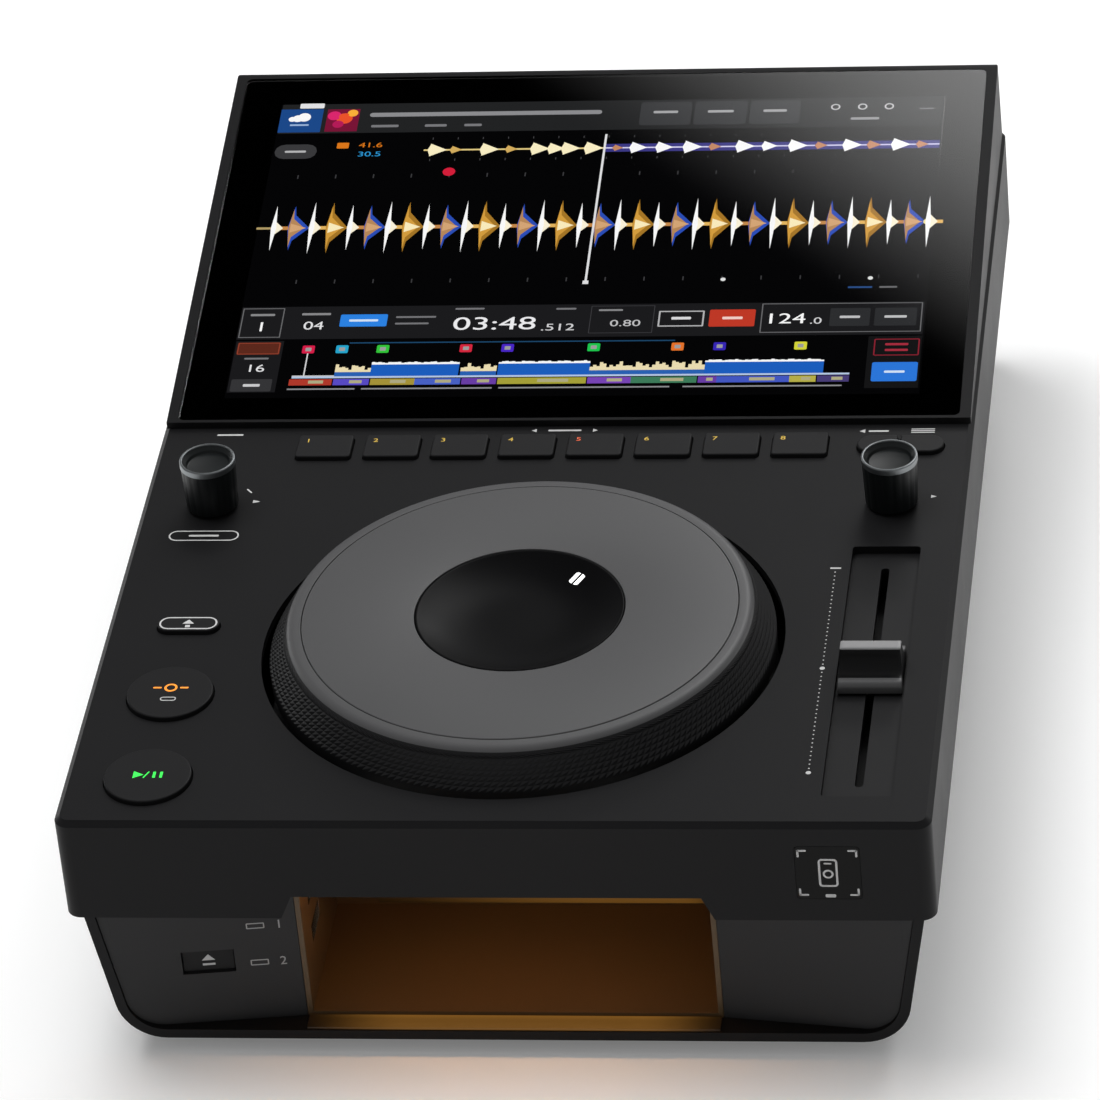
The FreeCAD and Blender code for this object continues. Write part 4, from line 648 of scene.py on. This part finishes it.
def buildKeyMarks():
    top = 1.4
    # transport keys: a play and pause sign, and a dot over a bar
    bm = bmesh.new()
    flatTriangle(bm, deckMark(-101.6, 20.9, top + 0.02), 3.2, 3.0)
    for x in (-96.6, -94.6):
        flatShape(bm, deckMark(x, 20.9, top + 0.02), 0.8, 2.8, 0.1)
    flatShape(bm, deckMark(-98.9, 20.9, top + 0.02) @ Matrix.Rotation(math.radians(-25), 4, "Z"), 0.4, 3.2, 0.1)
    keepMark(bm, "playKeyMark", greenMaterial, "play")
    bm = bmesh.new()
    flatDisc(bm, deckMark(-98.5, 62.6, top + 0.02), 1.9, 0.65, 32)
    flatShape(bm, deckMark(-102.4, 62.6, top + 0.02), 2.4, 0.7, 0.2)
    flatShape(bm, deckMark(-94.6, 62.6, top + 0.02), 2.4, 0.7, 0.2)
    keepMark(bm, "cueKeyMark", orangeMaterial, "cue")
    bm = bmesh.new()
    flatShape(bm, deckMark(-98.5, 57.2, top + 0.02), 4.6, 1.9, 0.9, 0.35, 6)
    keepMark(bm, "cueKeyInk", printMaterial, "cue")
    bm = bmesh.new()
    flatShape(bm, deckMark(-98.5, 94.5, top + 0.02), 17.0, 6.0, 2.9, 0.5, 8)
    flatTriangle(bm, deckMark(-98.5, 94.9, top + 0.02) @ Matrix.Rotation(math.radians(90), 4, "Z"), 2.2, 3.2)
    flatShape(bm, deckMark(-98.5, 93.0, top + 0.02), 1.4, 1.2, 0.1)
    keepMark(bm, "shiftKeyInk", printMaterial, "shift")
    for index in range(8):
        bm = bmesh.new()
        x = (index - 3.5) * 20.44 - 5.2
        addNumber(bm, str(index + 1), deckMark(x, 189.3, top + 0.02), 1.9, True, 1.25)
        colour = redMaterial if index == 4 else amberMaterial
        keepMark(bm, "hotCueMark%d" % (index + 1), colour, "hot_cue_%d" % (index + 1))
    bm = bmesh.new()
    angle = math.degrees(math.atan2(6.4, 54.0))
    setback = 5.6 + (112 - 85.6) / 54.0 * 6.4
    inward = Vector((-math.sin(math.radians(angle)), math.cos(math.radians(angle)), 0))
    origin = Vector((-85.6, caseFront + setback, 29.5)) + inward * (1.0 - 0.02)
    face = facing(origin, angle)
    flatTriangle(bm, face @ Matrix.Translation((0, 0.6, 0)) @ Matrix.Rotation(math.radians(90), 4, "Z"), 2.2, 3.6)
    flatShape(bm, face @ Matrix.Translation((0, -1.5, 0)), 3.6, 0.7, 0.1)
    keepMark(bm, "ejectKeyInk", printMaterial, "eject")
    bm = bmesh.new()
    reach = math.hypot(14.3, 18.5)
    lean = math.atan2(dishHeight(reach + 2) - dishHeight(reach - 2), 4)
    outward = Matrix.Rotation(math.atan2(18.5, 14.3), 4, "Z")
    for shift in (-1.0, 1.0):
        face = deckPlace(14.3, 105.2, dishHeight(reach) + 0.06) @ outward @ Matrix.Rotation(-lean, 4, "Y")
        flatShape(bm, face @ Matrix.Translation((0, shift, 0)), 4.6, 1.3, 0.15)
    keepMark(bm, "jogDishMarker", whiteLightMaterial, "jog")


buildDeckInk()
buildLipAndBezelInk()
buildKeyMarks()
print("marks made")


# the screen's picture: flat patches just under the glass, each with its own colour

layerStep = 0.012
panelFace = -1.7


def screenPlace(x, v, layer=1):
    return Matrix.Scale(1000, 4) @ screenPlane @ Matrix.Scale(0.001, 4) @ Matrix.Translation(
        (x, v, panelFace + layer * layerStep))


def screenMatrix(x, v, layer=1):
    # the screen's plane in millimetres
    turn = Matrix.Rotation(math.radians(8.75), 4, "X")
    return deckPlace(0, 198.5, 2.2) @ turn @ Matrix.Translation((x, v, panelFace + layer * layerStep))


def tint(bm, faces, code, level=1.0):
    layer = bm.loops.layers.float_color.get("tint") or bm.loops.layers.float_color.new("tint")
    colour = linearColour(code)
    for f in faces:
        if f.is_valid:
            for loop in f.loops:
                loop[layer] = (colour[0] * level, colour[1] * level, colour[2] * level, 1.0)


def tile(bm, x0, x1, v0, v1, code, layer=1, corner=0.0, line=0.0, level=1.0):
    place = screenMatrix((x0 + x1) / 2, (v0 + v1) / 2, layer)
    tint(bm, flatShape(bm, place, x1 - x0, v1 - v0, corner, line, 3), code, level)


def figures(bm, text, x, v, height, code, centred=True, widen=1.0):
    tint(bm, addNumber(bm, text, screenMatrix(x, v, 4), height, centred, widen), code)


def spike(bm, x, v, width, height, code, layer, lean=0.0):
    # a diamond: one beat of a wave
    size = Matrix.Diagonal((width, height, 1, 1))
    shear = Matrix.Identity(4)
    shear[0][1] = lean
    made = bmesh.ops.create_circle(bm, cap_ends=True, segments=4, radius=0.5,
                                   matrix=screenMatrix(x, v, layer) @ shear @ size)
    tint(bm, list({f for vert in made["verts"] for f in vert.link_faces}), code)


def burst(bm, x, v, width, height, code, layer):
    # a triangle that starts tall and dies away to the right
    size = Matrix.Diagonal((width, height, 1, 1))
    centre = Matrix.Translation((1 / 3, 0, 0))
    made = bmesh.ops.create_circle(bm, cap_ends=True, segments=3, radius=2 / 3, matrix=screenMatrix(
        x, v, layer) @ size @ centre @ Matrix.Diagonal((1, 0.866, 1, 1)) @ Matrix.Rotation(
            math.radians(-90), 4, "Z"))
    tint(bm, list({f for vert in made["verts"] for f in vert.link_faces}), code)


def keepScreen(bm, name):
    bm.loops.layers.float_color.get("tint") or bm.loops.layers.float_color.new("tint")
    return keepPiece(bm, name, [pixelMaterial], "cabinet", (), None, False)


def buildScreenBack():
    bm = bmesh.new()
    tile(bm, -105.6, 105.6, 11.8, 151.0, "#050506", 0.5)
    tile(bm, -105.2, 105.0, 136.8, 152.0, "#232425", 1)
    tile(bm, -105.4, 105.0, 38.6, 53.6, "#1c1c1e", 1)
    tile(bm, -105.2, -90.4, 14.4, 37.8, "#1b1b1d", 1)
    tile(bm, 88.8, 105.0, 14.4, 37.8, "#161617", 1)
    keepScreen(bm, "screenBack")


def buildScreenTop():
    bm = bmesh.new()
    tile(bm, -105.4, -91.8, 137.4, 148.8, "#1d4a8c", 2)
    tile(bm, -99.6, -91.8, 149.2, 151.6, "#e8e8ea", 3, 0.4)
    flatCloud = [(-99.6, 144.2, 1.7), (-97.6, 144.8, 2.1), (-101.4, 143.9, 1.2)]
    for x, v, radius in flatCloud:
        tint(bm, flatDisc(bm, screenMatrix(x, v, 3), radius, 0, 16), "#ffffff")
    tile(bm, -101.8, -95.8, 140.6, 141.4, "#9db8dd", 3)
    tile(bm, -90.4, -80.0, 137.6, 148.6, "#7b1638", 2)
    for x, v, radius, code in ((-88.0, 145.4, 2.2, "#e02870"), (-84.6, 144.0, 2.6, "#f0542c"),
                               (-82.2, 146.6, 1.7, "#ffb43a"), (-86.4, 141.2, 1.8, "#b81d5a")):
        tint(bm, flatDisc(bm, screenMatrix(x, v, 3), radius, 0, 16), code)
    # where a title would stand: a plain bar and three short ones
    tile(bm, -76.6, -2.4, 144.6, 146.6, "#8f8f92", 3, 0.9)
    for x0, x1 in ((-75.6, -66.8), (-58.4, -51.4), (-45.8, -40.2)):
        tile(bm, x0, x1, 139.4, 140.6, "#7b7b7e", 3, 0.4)
    for x0, x1 in ((9.8, 26.0), (27.0, 43.6), (44.6, 60.4)):
        tile(bm, x0, x1, 138.8, 150.2, "#38393b", 2, 1.2)
        tile(bm, x0 + 4.2, x1 - 4.2, 144.6, 145.8, "#a9a9ab", 3, 0.4)
    for x in (71.5, 80.0, 88.4):
        tint(bm, flatDisc(bm, screenMatrix(x, 146.6, 3), 1.5, 0.5, 20), "#c8c8ca")
    tile(bm, 76.6, 85.6, 140.2, 141.4, "#97979a", 3, 0.4)
    tile(bm, 98.0, 102.4, 145.0, 145.6, "#77777a", 3)
    # second row
    tile(bm, -105.0, -91.6, 124.4, 131.4, "#3b3b3d", 2, 3.2)
    tile(bm, -101.8, -95.0, 127.4, 128.4, "#b9b9bb", 3, 0.4)
    tile(bm, -85.4, -81.6, 129.2, 132.0, "#e07a1c", 2, 0.4)
    figures(bm, "41.6", -74.6, 130.6, 2.4, "#e07a1c", True, 1.35)
    figures(bm, "30.5", -74.6, 126.2, 2.4, "#2f9ad8", True, 1.35)
    keepScreen(bm, "screenTopRow")


def buildOverviewWave():
    bm = bmesh.new()
    middle = 127.9
    tile(bm, -57.4, 0.2, middle - 0.35, middle + 0.35, "#e8cf86", 2)
    tile(bm, 0.2, 105.2, middle - 1.9, middle + 1.9, "#3d3a86", 2)
    tile(bm, 0.2, 105.2, middle - 0.3, middle + 0.3, "#d8d4f4", 3)
    beats = [(-55.4, 1.0), (-48.4, 0.6), (-38.8, 1.0), (-30.8, 0.6), (-22.8, 1.0), (-17.4, 0.9), (-13.0, 1.0),
             (-5.8, 1.0), (3.2, 0.5), (8.6, 0.9), (16.8, 0.9), (25.4, 1.0), (33.6, 0.6), (42.0, 1.0),
             (50.2, 0.8), (58.6, 1.0), (67.0, 0.6), (75.6, 1.0), (83.2, 0.7), (90.8, 1.0), (98.6, 0.6)]
    for index, (x, size) in enumerate(beats):
        code = ("#fff3c8", "#ffffff")[x > 0] if size > 0.7 else ("#d8b060", "#c88a64")[x > 0]
        burst(bm, x, middle, 5.4 * size, 6.2 * size, code, 4)
        spike(bm, x, middle, 1.6, 5.0 * size, code, 5)
    for index in range(21):
        x = -55.0 + index * 8.0
        tile(bm, x - 0.12, x + 0.12, 133.0, 134.0, "#4a4a4c", 2)
        tile(bm, x - 0.12, x + 0.12, 122.6, 123.6, "#4a4a4c", 2)
    tile(bm, -0.35, 0.35, 63.5, 134.6, "#e4e4e6", 8)
    tile(bm, -0.9, 0.9, 63.0, 64.6, "#e4e4e6", 8)
    tint(bm, flatDisc(bm, screenMatrix(-48.2, 117.2, 5), 2.0, 0, 20), "#d8203c")
    keepScreen(bm, "screenOverview")


def buildBigWave():
    bm = bmesh.new()
    middle = 90.8
    pitch = 12.02
    tile(bm, -106.0, 105.2, middle - 0.5, middle + 0.5, "#b6a06a", 2)
    for index in range(18):
        x = -100.6 + index * pitch
        tall = 24.5 if index % 2 else 21.5
        # the hit: a thin white needle with a short tail
        spike(bm, x, middle, 1.7, tall, "#ffffff", 7)
        burst(bm, x, middle, 3.0, tall * 0.34, "#fff6dc", 6)
        tile(bm, x + 1.0, x + 4.6, middle - 0.8, middle + 0.8, ("#c88a4a", "#e8b860")[index % 2], 3)
        # the echo: a leaning needle that dies away, blue behind tan or all amber
        left = x + pitch * 0.47
        if left > 103.0:
            continue
        outer, body, heart = (("#2c4fb8", "#b98a5c", "#d8a878"), ("#a87828", "#d8a040", "#fff0c0"))[index % 2]
        spike(bm, left + 0.2, middle, 2.8, tall * 0.98, outer, 3)
        burst(bm, left, middle, 5.6, tall * 0.66, outer, 3.3)
        spike(bm, left - 0.1, middle, 1.7, tall * 0.84, body, 4)
        burst(bm, left - 0.4, middle, 4.4, tall * 0.48, body, 4.3)
        burst(bm, left - 0.4, middle, 5.0, tall * 0.2, heart, 5)
    tint(bm, flatDisc(bm, screenMatrix(103.6, middle, 4), 1.4, 0, 12), "#f0e29a")
    for index in range(17):
        x = -96.0 + index * 12.02
        tile(bm, x - 0.2, x + 0.2, 114.6, 116.4, "#3c3c3e", 2)
        tile(bm, x + 5.6, x + 6.0, 64.4, 66.2, "#3c3c3e", 2)
    for x in (42.4, 87.6):
        tint(bm, flatDisc(bm, screenMatrix(x, 64.6, 4), 0.8, 0, 14), "#e6e6e6")
    tile(bm, 81.0, 88.4, 60.0, 60.8, "#2b4f86", 2)
    tile(bm, 90.6, 96.0, 60.0, 60.8, "#6e6e70", 2)
    keepScreen(bm, "screenWave")


def buildInfoRow():
    bm = bmesh.new()
    tile(bm, -105.0, -92.0, 39.4, 53.0, "#6b6b6d", 2, 0.2, 0.35)
    tile(bm, -102.4, -94.8, 49.4, 50.4, "#8c8c8e", 3, 0.3)
    figures(bm, "1", -98.4, 44.2, 4.4, "#ffffff", True, 1.2)
    tile(bm, -86.4, -77.4, 49.6, 50.6, "#8c8c8e", 3, 0.3)
    figures(bm, "04", -82.2, 44.6, 3.8, "#e8e8ea", True, 1.25)
    tile(bm, -74.2, -59.6, 44.2, 49.8, "#2d84e6", 2, 0.5)
    tile(bm, -71.4, -62.4, 46.5, 47.5, "#d7e8fb", 3, 0.3)
    tile(bm, -57.0, -44.6, 48.0, 48.8, "#77777a", 3, 0.3)
    tile(bm, -57.0, -46.6, 45.0, 45.8, "#77777a", 3, 0.3)
    tile(bm, -39.0, -30.0, 51.6, 52.4, "#77777a", 3, 0.3)
    figures(bm, "03:48", -26.2, 44.8, 6.0, "#f2f2f4", True, 1.42)
    figures(bm, ".512", -6.6, 43.0, 3.2, "#d8d8da", True, 1.4)
    tile(bm, -7.8, -1.6, 51.2, 52.0, "#77777a", 3, 0.3)
    tile(bm, 3.0, 22.6, 40.2, 52.8, "#3c3c3f", 2, 0.2, 0.25)
    tile(bm, 5.4, 12.8, 50.4, 51.2, "#8c8c8e", 3, 0.3)
    figures(bm, "0.80", 14.0, 44.6, 3.0, "#c8c8ca", True, 1.35)
    tile(bm, 24.0, 38.0, 43.0, 50.2, "#b9b9bb", 2, 0.3, 0.5)
    tile(bm, 28.0, 34.0, 46.2, 47.4, "#e0e0e2", 3, 0.3)
    tile(bm, 39.6, 53.6, 42.8, 50.6, "#c23a28", 2, 0.5)
    tile(bm, 43.6, 49.8, 46.1, 47.3, "#f6d4cc", 3, 0.3)
    tile(bm, 55.4, 104.4, 39.8, 53.2, "#6b6b6d", 2, 0.2, 0.35)
    figures(bm, "124", 62.8, 46.0, 4.8, "#ffffff", True, 1.3)
    figures(bm, ".0", 72.2, 45.0, 3.0, "#d8d8da", True, 1.3)
    for x0, x1 in ((76.4, 88.6), (90.0, 102.8)):
        tile(bm, x0, x1, 42.6, 50.8, "#2e2f31", 2, 0.5)
        tile(bm, x0 + 3.0, x1 - 3.0, 46.2, 47.3, "#c4c4c6", 3, 0.3)
    keepScreen(bm, "screenInfoRow")


def buildSections():
    bm = bmesh.new()
    # tiles at the left and the right
    tile(bm, -104.6, -91.2, 31.6, 37.2, "#5e2a1e", 2, 0.5)
    tile(bm, -104.4, -91.4, 31.8, 37.0, "#9a4330", 3, 0.4, 0.3)
    tile(bm, -101.8, -94.2, 29.4, 30.2, "#77777a", 3, 0.3)
    figures(bm, "16", -97.8, 25.2, 3.4, "#e8e8ea", True, 1.3)
    tile(bm, -104.4, -91.8, 14.8, 20.4, "#363638", 2, 0.5)
    tile(bm, -100.6, -95.4, 17.0, 18.2, "#cfcfd1", 3, 0.3)
    tile(bm, 90.6, 104.4, 29.0, 36.6, "#8c2433", 3, 0.5, 0.4)
    tile(bm, 94.0, 101.0, 33.6, 34.6, "#a82f40", 3, 0.3)
    tile(bm, 94.0, 101.0, 31.0, 32.0, "#a82f40", 3, 0.3)
    tile(bm, 90.6, 104.4, 17.4, 26.0, "#2d78dc", 2, 0.6)
    tile(bm, 94.4, 100.6, 21.2, 22.2, "#d7e8fb", 3, 0.3)
    # height of the track, as one column beside the other: low, full or busy
    spans = [(-86.0, -73.0, 0.1, "quiet"), (-73.0, -62.0, 0.5, "busy"), (-62.0, -34.4, 1.0, "full"),
             (-34.4, -23.0, 0.5, "busy"), (-23.0, 5.0, 1.0, "full"), (5.0, 26.0, 0.55, "busy"),
             (26.0, 40.0, 0.7, "busy"), (40.0, 76.0, 1.0, "full")]
    step = 1.0
    floor, reach = 21.4, 6.4
    for x0, x1, level, kind in spans:
        count = int((x1 - x0) / step)
        for index in range(count):
            x = x0 + index * step
            wave = 0.5 + 0.5 * math.sin(x * 1.7) * math.cos(x * 0.61 + 1.0)
            if kind == "full":
                tile(bm, x, x + step, floor, floor + reach * 0.82, "#1d5fc0", 2)
                tile(bm, x, x + step, floor + reach * 0.82, floor + reach * (0.92 + 0.1 * wave), "#ffffff", 3)
            elif kind == "busy":
                tile(bm, x, x + step, floor, floor + reach * 0.3, "#2a62b4", 2)
                tile(bm, x, x + step, floor + reach * 0.3, floor + reach * (0.42 + 0.5 * wave * level / 0.55),
                     "#efe0b4", 3)
            else:
                tile(bm, x, x + step, floor, floor + 0.5, "#c8c8ca", 2)
    tile(bm, -86.0, 84.0, 20.6, 21.4, "#b9cbe8", 2)
    strips = [(-86.6, -73.4, "#b33a2c"), (-73.0, -62.0, "#5a4cc8"), (-61.6, -48.0, "#a8953a"),
              (-48.0, -34.0, "#4a63c8"), (-33.6, -23.0, "#6b3fa8"), (-22.6, 4.4, "#a8a23a"),
              (4.8, 18.0, "#7a46b8"), (18.0, 38.0, "#3f7d5c"), (38.4, 44.0, "#6b3fa8"),
              (44.0, 66.0, "#4559c4"), (66.0, 74.0, "#b8b04a"), (74.4, 84.0, "#4a3f78")]
    for x0, x1, code in strips:
        tile(bm, x0, x1, 17.4, 20.2, code, 2)
        tile(bm, x0 + (x1 - x0) * 0.45, x0 + (x1 - x0) * 0.8, 18.2, 19.6, "#e8e2b0", 3, 0, 0, 0.55)
    for x0, x1 in ((-86.8, -66.0), (-64.0, -24.0), (-22.0, 30.0), (34.0, 82.0)):
        tile(bm, x0, x1, 15.4, 16.0, "#8f8f92", 2)
    flags = [(-82.4, "#d81f4a"), (-72.0, "#28a8d0"), (-59.4, "#35c83c"), (-33.8, "#d82840"), (-21.0, "#4a28c8"),
             (5.4, "#20c850"), (31.0, "#e8742c"), (43.8, "#3828b8"), (68.4, "#d8d83a")]
    for x, code in flags:
        tile(bm, x - 1.9, x + 1.9, 32.0, 35.6, code, 3, 0.5)
        tile(bm, x - 0.9, x + 0.9, 33.0, 34.6, "#ffffff", 4, 0.2, 0, 0.35)
    tile(bm, -82.6, -82.2, 21.4, 32.0, "#d8d8da", 3)
    tile(bm, -70.0, 30.0, 36.4, 36.9, "#1f4a6e", 2)
    keepScreen(bm, "screenSections")


def buildGlassBorder():
    # black ink under the glass all round the picture
    bm = bmesh.new()
    underGlass = screenPlane.copy()
    underGlass.translation *= 1000
    underGlass = underGlass @ Matrix.Translation((0, 82.2, -1.68))
    outer = flatShape(bm, underGlass, 236.0, 161.6, 2.0, 0, 4)
    bmesh.ops.inset_region(bm, faces=outer, thickness=9.0, use_even_offset=True, use_boundary=True)
    turn = underGlass.inverted()
    for v in {v for f in outer for v in f.verts}:
        spot = turn @ v.co
        x = math.copysign(105.8, spot.x)
        y = 69.0 if spot.y > 0 else -70.6
        v.co = turn.inverted() @ Vector((x, y, 0))
    bmesh.ops.delete(bm, geom=outer, context="FACES")
    keepPiece(bm, "glassBorder", [filmMaterial], "cabinet", (), None, True)


buildScreenBack()
buildScreenTop()
buildOverviewWave()
buildBigWave()
buildInfoRow()
buildSections()
buildGlassBorder()
print("screen made")


# painted light in the bay: glow colours and levels for the lamp's painted reflection and painted pool of light
bayPaintedGlow = {"colour": "#c88a38", "base": "#24180d", "wall": 0.2, "floor": 0.3}


def paintedFadingGlow(name, colour, level, ramps):
    # painted light: a glowing bar whose glow falls off, standing in for the bay lamp's light; each ramp is (axis,
    # dark place, bright place) in millimetres
    material = litMaterial(name, colour, level)
    mainShader(material).inputs["Base Color"].default_value = linearColour(bayPaintedGlow["base"])
    place = addNode(material, "ShaderNodeTexCoord").outputs["Object"]
    axes = addNode(material, "ShaderNodeSeparateXYZ", {"Vector": place})
    total = None
    for axis, dark, bright, least in ramps:
        ramp = addNode(material, "ShaderNodeMapRange", {"Value": axes.outputs[axis]},
                       {"From Min": dark / 1000, "From Max": bright / 1000, "To Min": least, "To Max": 1.0},
                       interpolation_type="SMOOTHSTEP").outputs["Result"]
        total = ramp if total is None else addNode(material, "ShaderNodeMath", {0: total, 1: ramp},
                                                   operation="MULTIPLY").outputs["Value"]
    scaled = addNode(material, "ShaderNodeMath", {0: total}, {1: level}, operation="MULTIPLY")
    connect(material, scaled.outputs["Value"], "Emission Strength")
    return material


def paintedGlowBar(name, centre, size, material):
    bm = bmesh.new()
    bmesh.ops.create_cube(bm, size=1.0, matrix=Matrix.Translation(centre) @ Matrix.Diagonal(size + (1,)))
    bmesh.ops.bevel(bm, geom=bm.edges[:], offset=0.2, offset_type="OFFSET", segments=2, profile=0.5,
                    affect="EDGES", material=-1)
    keepPiece(bm, name, [material], "cabinet", (), 40)


def buildBayPaintedLight():
    # painted light: a glowing line along the foot of the bay's rear wall as the painted reflection of the bay lamp,
    # and a glowing bar on the floor before the liner as the painted pool of its light
    wall = paintedFadingGlow("painted lamp reflection amber", bayPaintedGlow["colour"], bayPaintedGlow["wall"],
                      (("X", -46, 22, 0.1), ("X", 54, 44, 0.3)))
    # painted reflection of the bay lamp on the rear wall
    paintedGlowBar("bayPaintedReflectionLine", (3.0, caseFront + 61.7, 11.3), (97.0, 0.7, 1.7), wall)
    front, rear = caseFront + 5.6, caseFront + 11.6
    floor = paintedFadingGlow("painted lamp light pool amber", bayPaintedGlow["colour"], bayPaintedGlow["floor"],
                       (("X", -60, -30, 0.03), ("X", 61, 36, 0.03), ("Y", rear - 2.2, rear - 0.6, 0.75)))
    # painted pool of the bay lamp's light on the floor before the liner
    paintedGlowBar("bayPaintedLightPool", (0, caseFront + 8.6, 8.3), (118.0, 6.0, 0.8), floor)


buildBayPaintedLight()


# stage, light and camera

studio = {"floor": "#f4f4f4", "glow": 0.15, "fill": 0.24, "window": 3.5}


def buildStage():
    bm = bmesh.new()
    bmesh.ops.create_grid(bm, x_segments=1, y_segments=1, size=6.0)
    mesh = bpy.data.meshes.new("studioFloor")
    bm.to_mesh(mesh)
    bm.free()
    floor = bpy.data.objects.new("studioFloor", mesh)
    bpy.context.scene.collection.objects.link(floor)
    paper = newMaterial("paper matt white", studio["floor"], 0.95)
    # seen by the camera, in metal or through glass, the paper is a little whiter; it gives off no light
    ray = addNode(paper, "ShaderNodeLightPath").outputs
    seen = addNode(paper, "ShaderNodeMath", {0: ray["Is Camera Ray"], 1: ray["Is Glossy Ray"]}, operation="MAXIMUM")
    seen = addNode(paper, "ShaderNodeMath", {0: seen.outputs["Value"], 1: ray["Is Transmission Ray"]},
                   operation="MAXIMUM")
    glow = addNode(paper, "ShaderNodeMath", {0: seen.outputs["Value"]}, {1: studio["glow"]}, operation="MULTIPLY")
    mainShader(paper).inputs["Emission Color"].default_value = (1, 1, 1, 1)
    connect(paper, glow.outputs["Value"], "Emission Strength")
    mesh.materials.append(paper)


def directionMask(world, direction, azimuth, elevation, inner, outer):
    # 1 inside a round window in the studio's ceiling, falling off to 0 at its soft edge
    turn, rise = math.radians(azimuth), math.radians(elevation)
    towards = (math.sin(turn) * math.cos(rise), math.cos(turn) * math.cos(rise), math.sin(rise))
    dot = addNode(world, "ShaderNodeVectorMath", {0: direction}, {1: towards}, operation="DOT_PRODUCT")
    return addNode(world, "ShaderNodeMapRange", {"Value": dot.outputs["Value"]},
                   {"From Min": math.cos(math.radians(outer)), "From Max": math.cos(math.radians(inner)),
                    "To Min": 0.0, "To Max": 1.0}, interpolation_type="SMOOTHSTEP").outputs["Result"]


def buildWorld():
    world = bpy.data.worlds.new("studio")
    bpy.context.scene.world = world
    world.use_nodes = True
    background = world.node_tree.nodes["Background"]
    background.inputs["Color"].default_value = (1, 1, 1, 1)
    direction = addNode(world, "ShaderNodeTexCoord").outputs["Generated"]
    # a black flag over the display, and right of it a large window whose near side is graded
    flag = directionMask(world, direction, -12, 49, 9, 26)
    window = directionMask(world, direction, 15, 52, 14, 22)
    across = addNode(world, "ShaderNodeVectorMath", {0: direction}, {1: (0.557, 0.665, -0.511)},
                     operation="DOT_PRODUCT")
    graded = addNode(world, "ShaderNodeMapRange", {"Value": across.outputs["Value"]},
                     {"From Min": -0.0152, "From Max": 0.0317, "To Min": 0.0, "To Max": studio["window"]},
                     interpolation_type="SMOOTHSTEP")
    shaded = addNode(world, "ShaderNodeMapRange", {"Value": flag},
                     {"From Min": 0.0, "From Max": 1.0, "To Min": studio["fill"], "To Max": 0.0})
    lit = addNode(world, "ShaderNodeMath", {0: window, 1: graded.outputs["Result"], 2: shaded.outputs["Result"]},
                  operation="MULTIPLY_ADD")
    world.node_tree.links.new(lit.outputs["Value"], background.inputs["Strength"])


def softenEdge(light):
    # the lamp fades to nothing at its rim, as a diffuser does, so glass mirrors no hard edge
    light.use_nodes = True
    emission = light.node_tree.nodes["Emission"]
    spot = addNode(light, "ShaderNodeNewGeometry").outputs["Parametric"]
    rim = addNode(light, "ShaderNodeVectorMath", {0: spot}, {1: (0.5, 0.5, 0.0)}, operation="DISTANCE")
    fade = addNode(light, "ShaderNodeMapRange", {"Value": rim.outputs["Value"]},
                   {"From Min": 0.1, "From Max": 0.5, "To Min": 1.0, "To Max": 0.0},
                   interpolation_type="SMOOTHSTEP")
    light.node_tree.links.new(fade.outputs["Result"], emission.inputs["Strength"])


def addLamp(name, place, aim, size, power, mirrored=True):
    light = bpy.data.lights.new(name, "AREA")
    light.shape = "RECTANGLE"
    light.size, light.size_y = size
    light.energy = power
    if mirrored:
        softenEdge(light)
    lampObject = bpy.data.objects.new(name, light)
    lampObject.visible_camera = False
    lampObject.visible_glossy = mirrored
    lampObject.location = place
    lampObject.rotation_euler = (Vector(aim) - Vector(place)).to_track_quat("-Z", "Y").to_euler()
    bpy.context.scene.collection.objects.link(lampObject)


def buildCamera():
    shot = {"place": (0.2702, -1.6372, 1.177), "aim": (-0.0055, -0.004, 0.052), "roll": 5.634, "lens": 218.0}
    camera = bpy.data.cameras.new("camera")
    camera.lens = shot["lens"]
    camera.sensor_width = 36.0
    camera.clip_end = 50.0
    holder = bpy.data.objects.new("camera", camera)
    place, aim = Vector(shot["place"]), Vector(shot["aim"])
    look = (aim - place).to_track_quat("-Z", "Y").to_matrix()
    holder.matrix_world = Matrix.Translation(place) @ (look @ Matrix.Rotation(
        math.radians(-shot["roll"]), 3, "Z")).to_4x4()
    bpy.context.scene.collection.objects.link(holder)
    bpy.context.scene.camera = holder


buildStage()
buildWorld()
addLamp("topSoftbox", (-0.55, 0.4, 2.45), (0.0, -0.1, 0.05), (1.5, 1.5), 50.0, mirrored=False)
addLamp("rearSoftbox", (0.2, 0.76, 0.5), (0.0, 0.0, 0.085), (0.42, 0.26), 2.2)
for side in (-1, 1):
    addLamp("sideFill", (side * 1.65, 1.2, 0.34), (0.0, 0.0, 0.05), (1.0, 0.5), 6.5)
buildCamera()
bpy.context.scene.view_settings.view_transform = "Standard"
print("studio made")
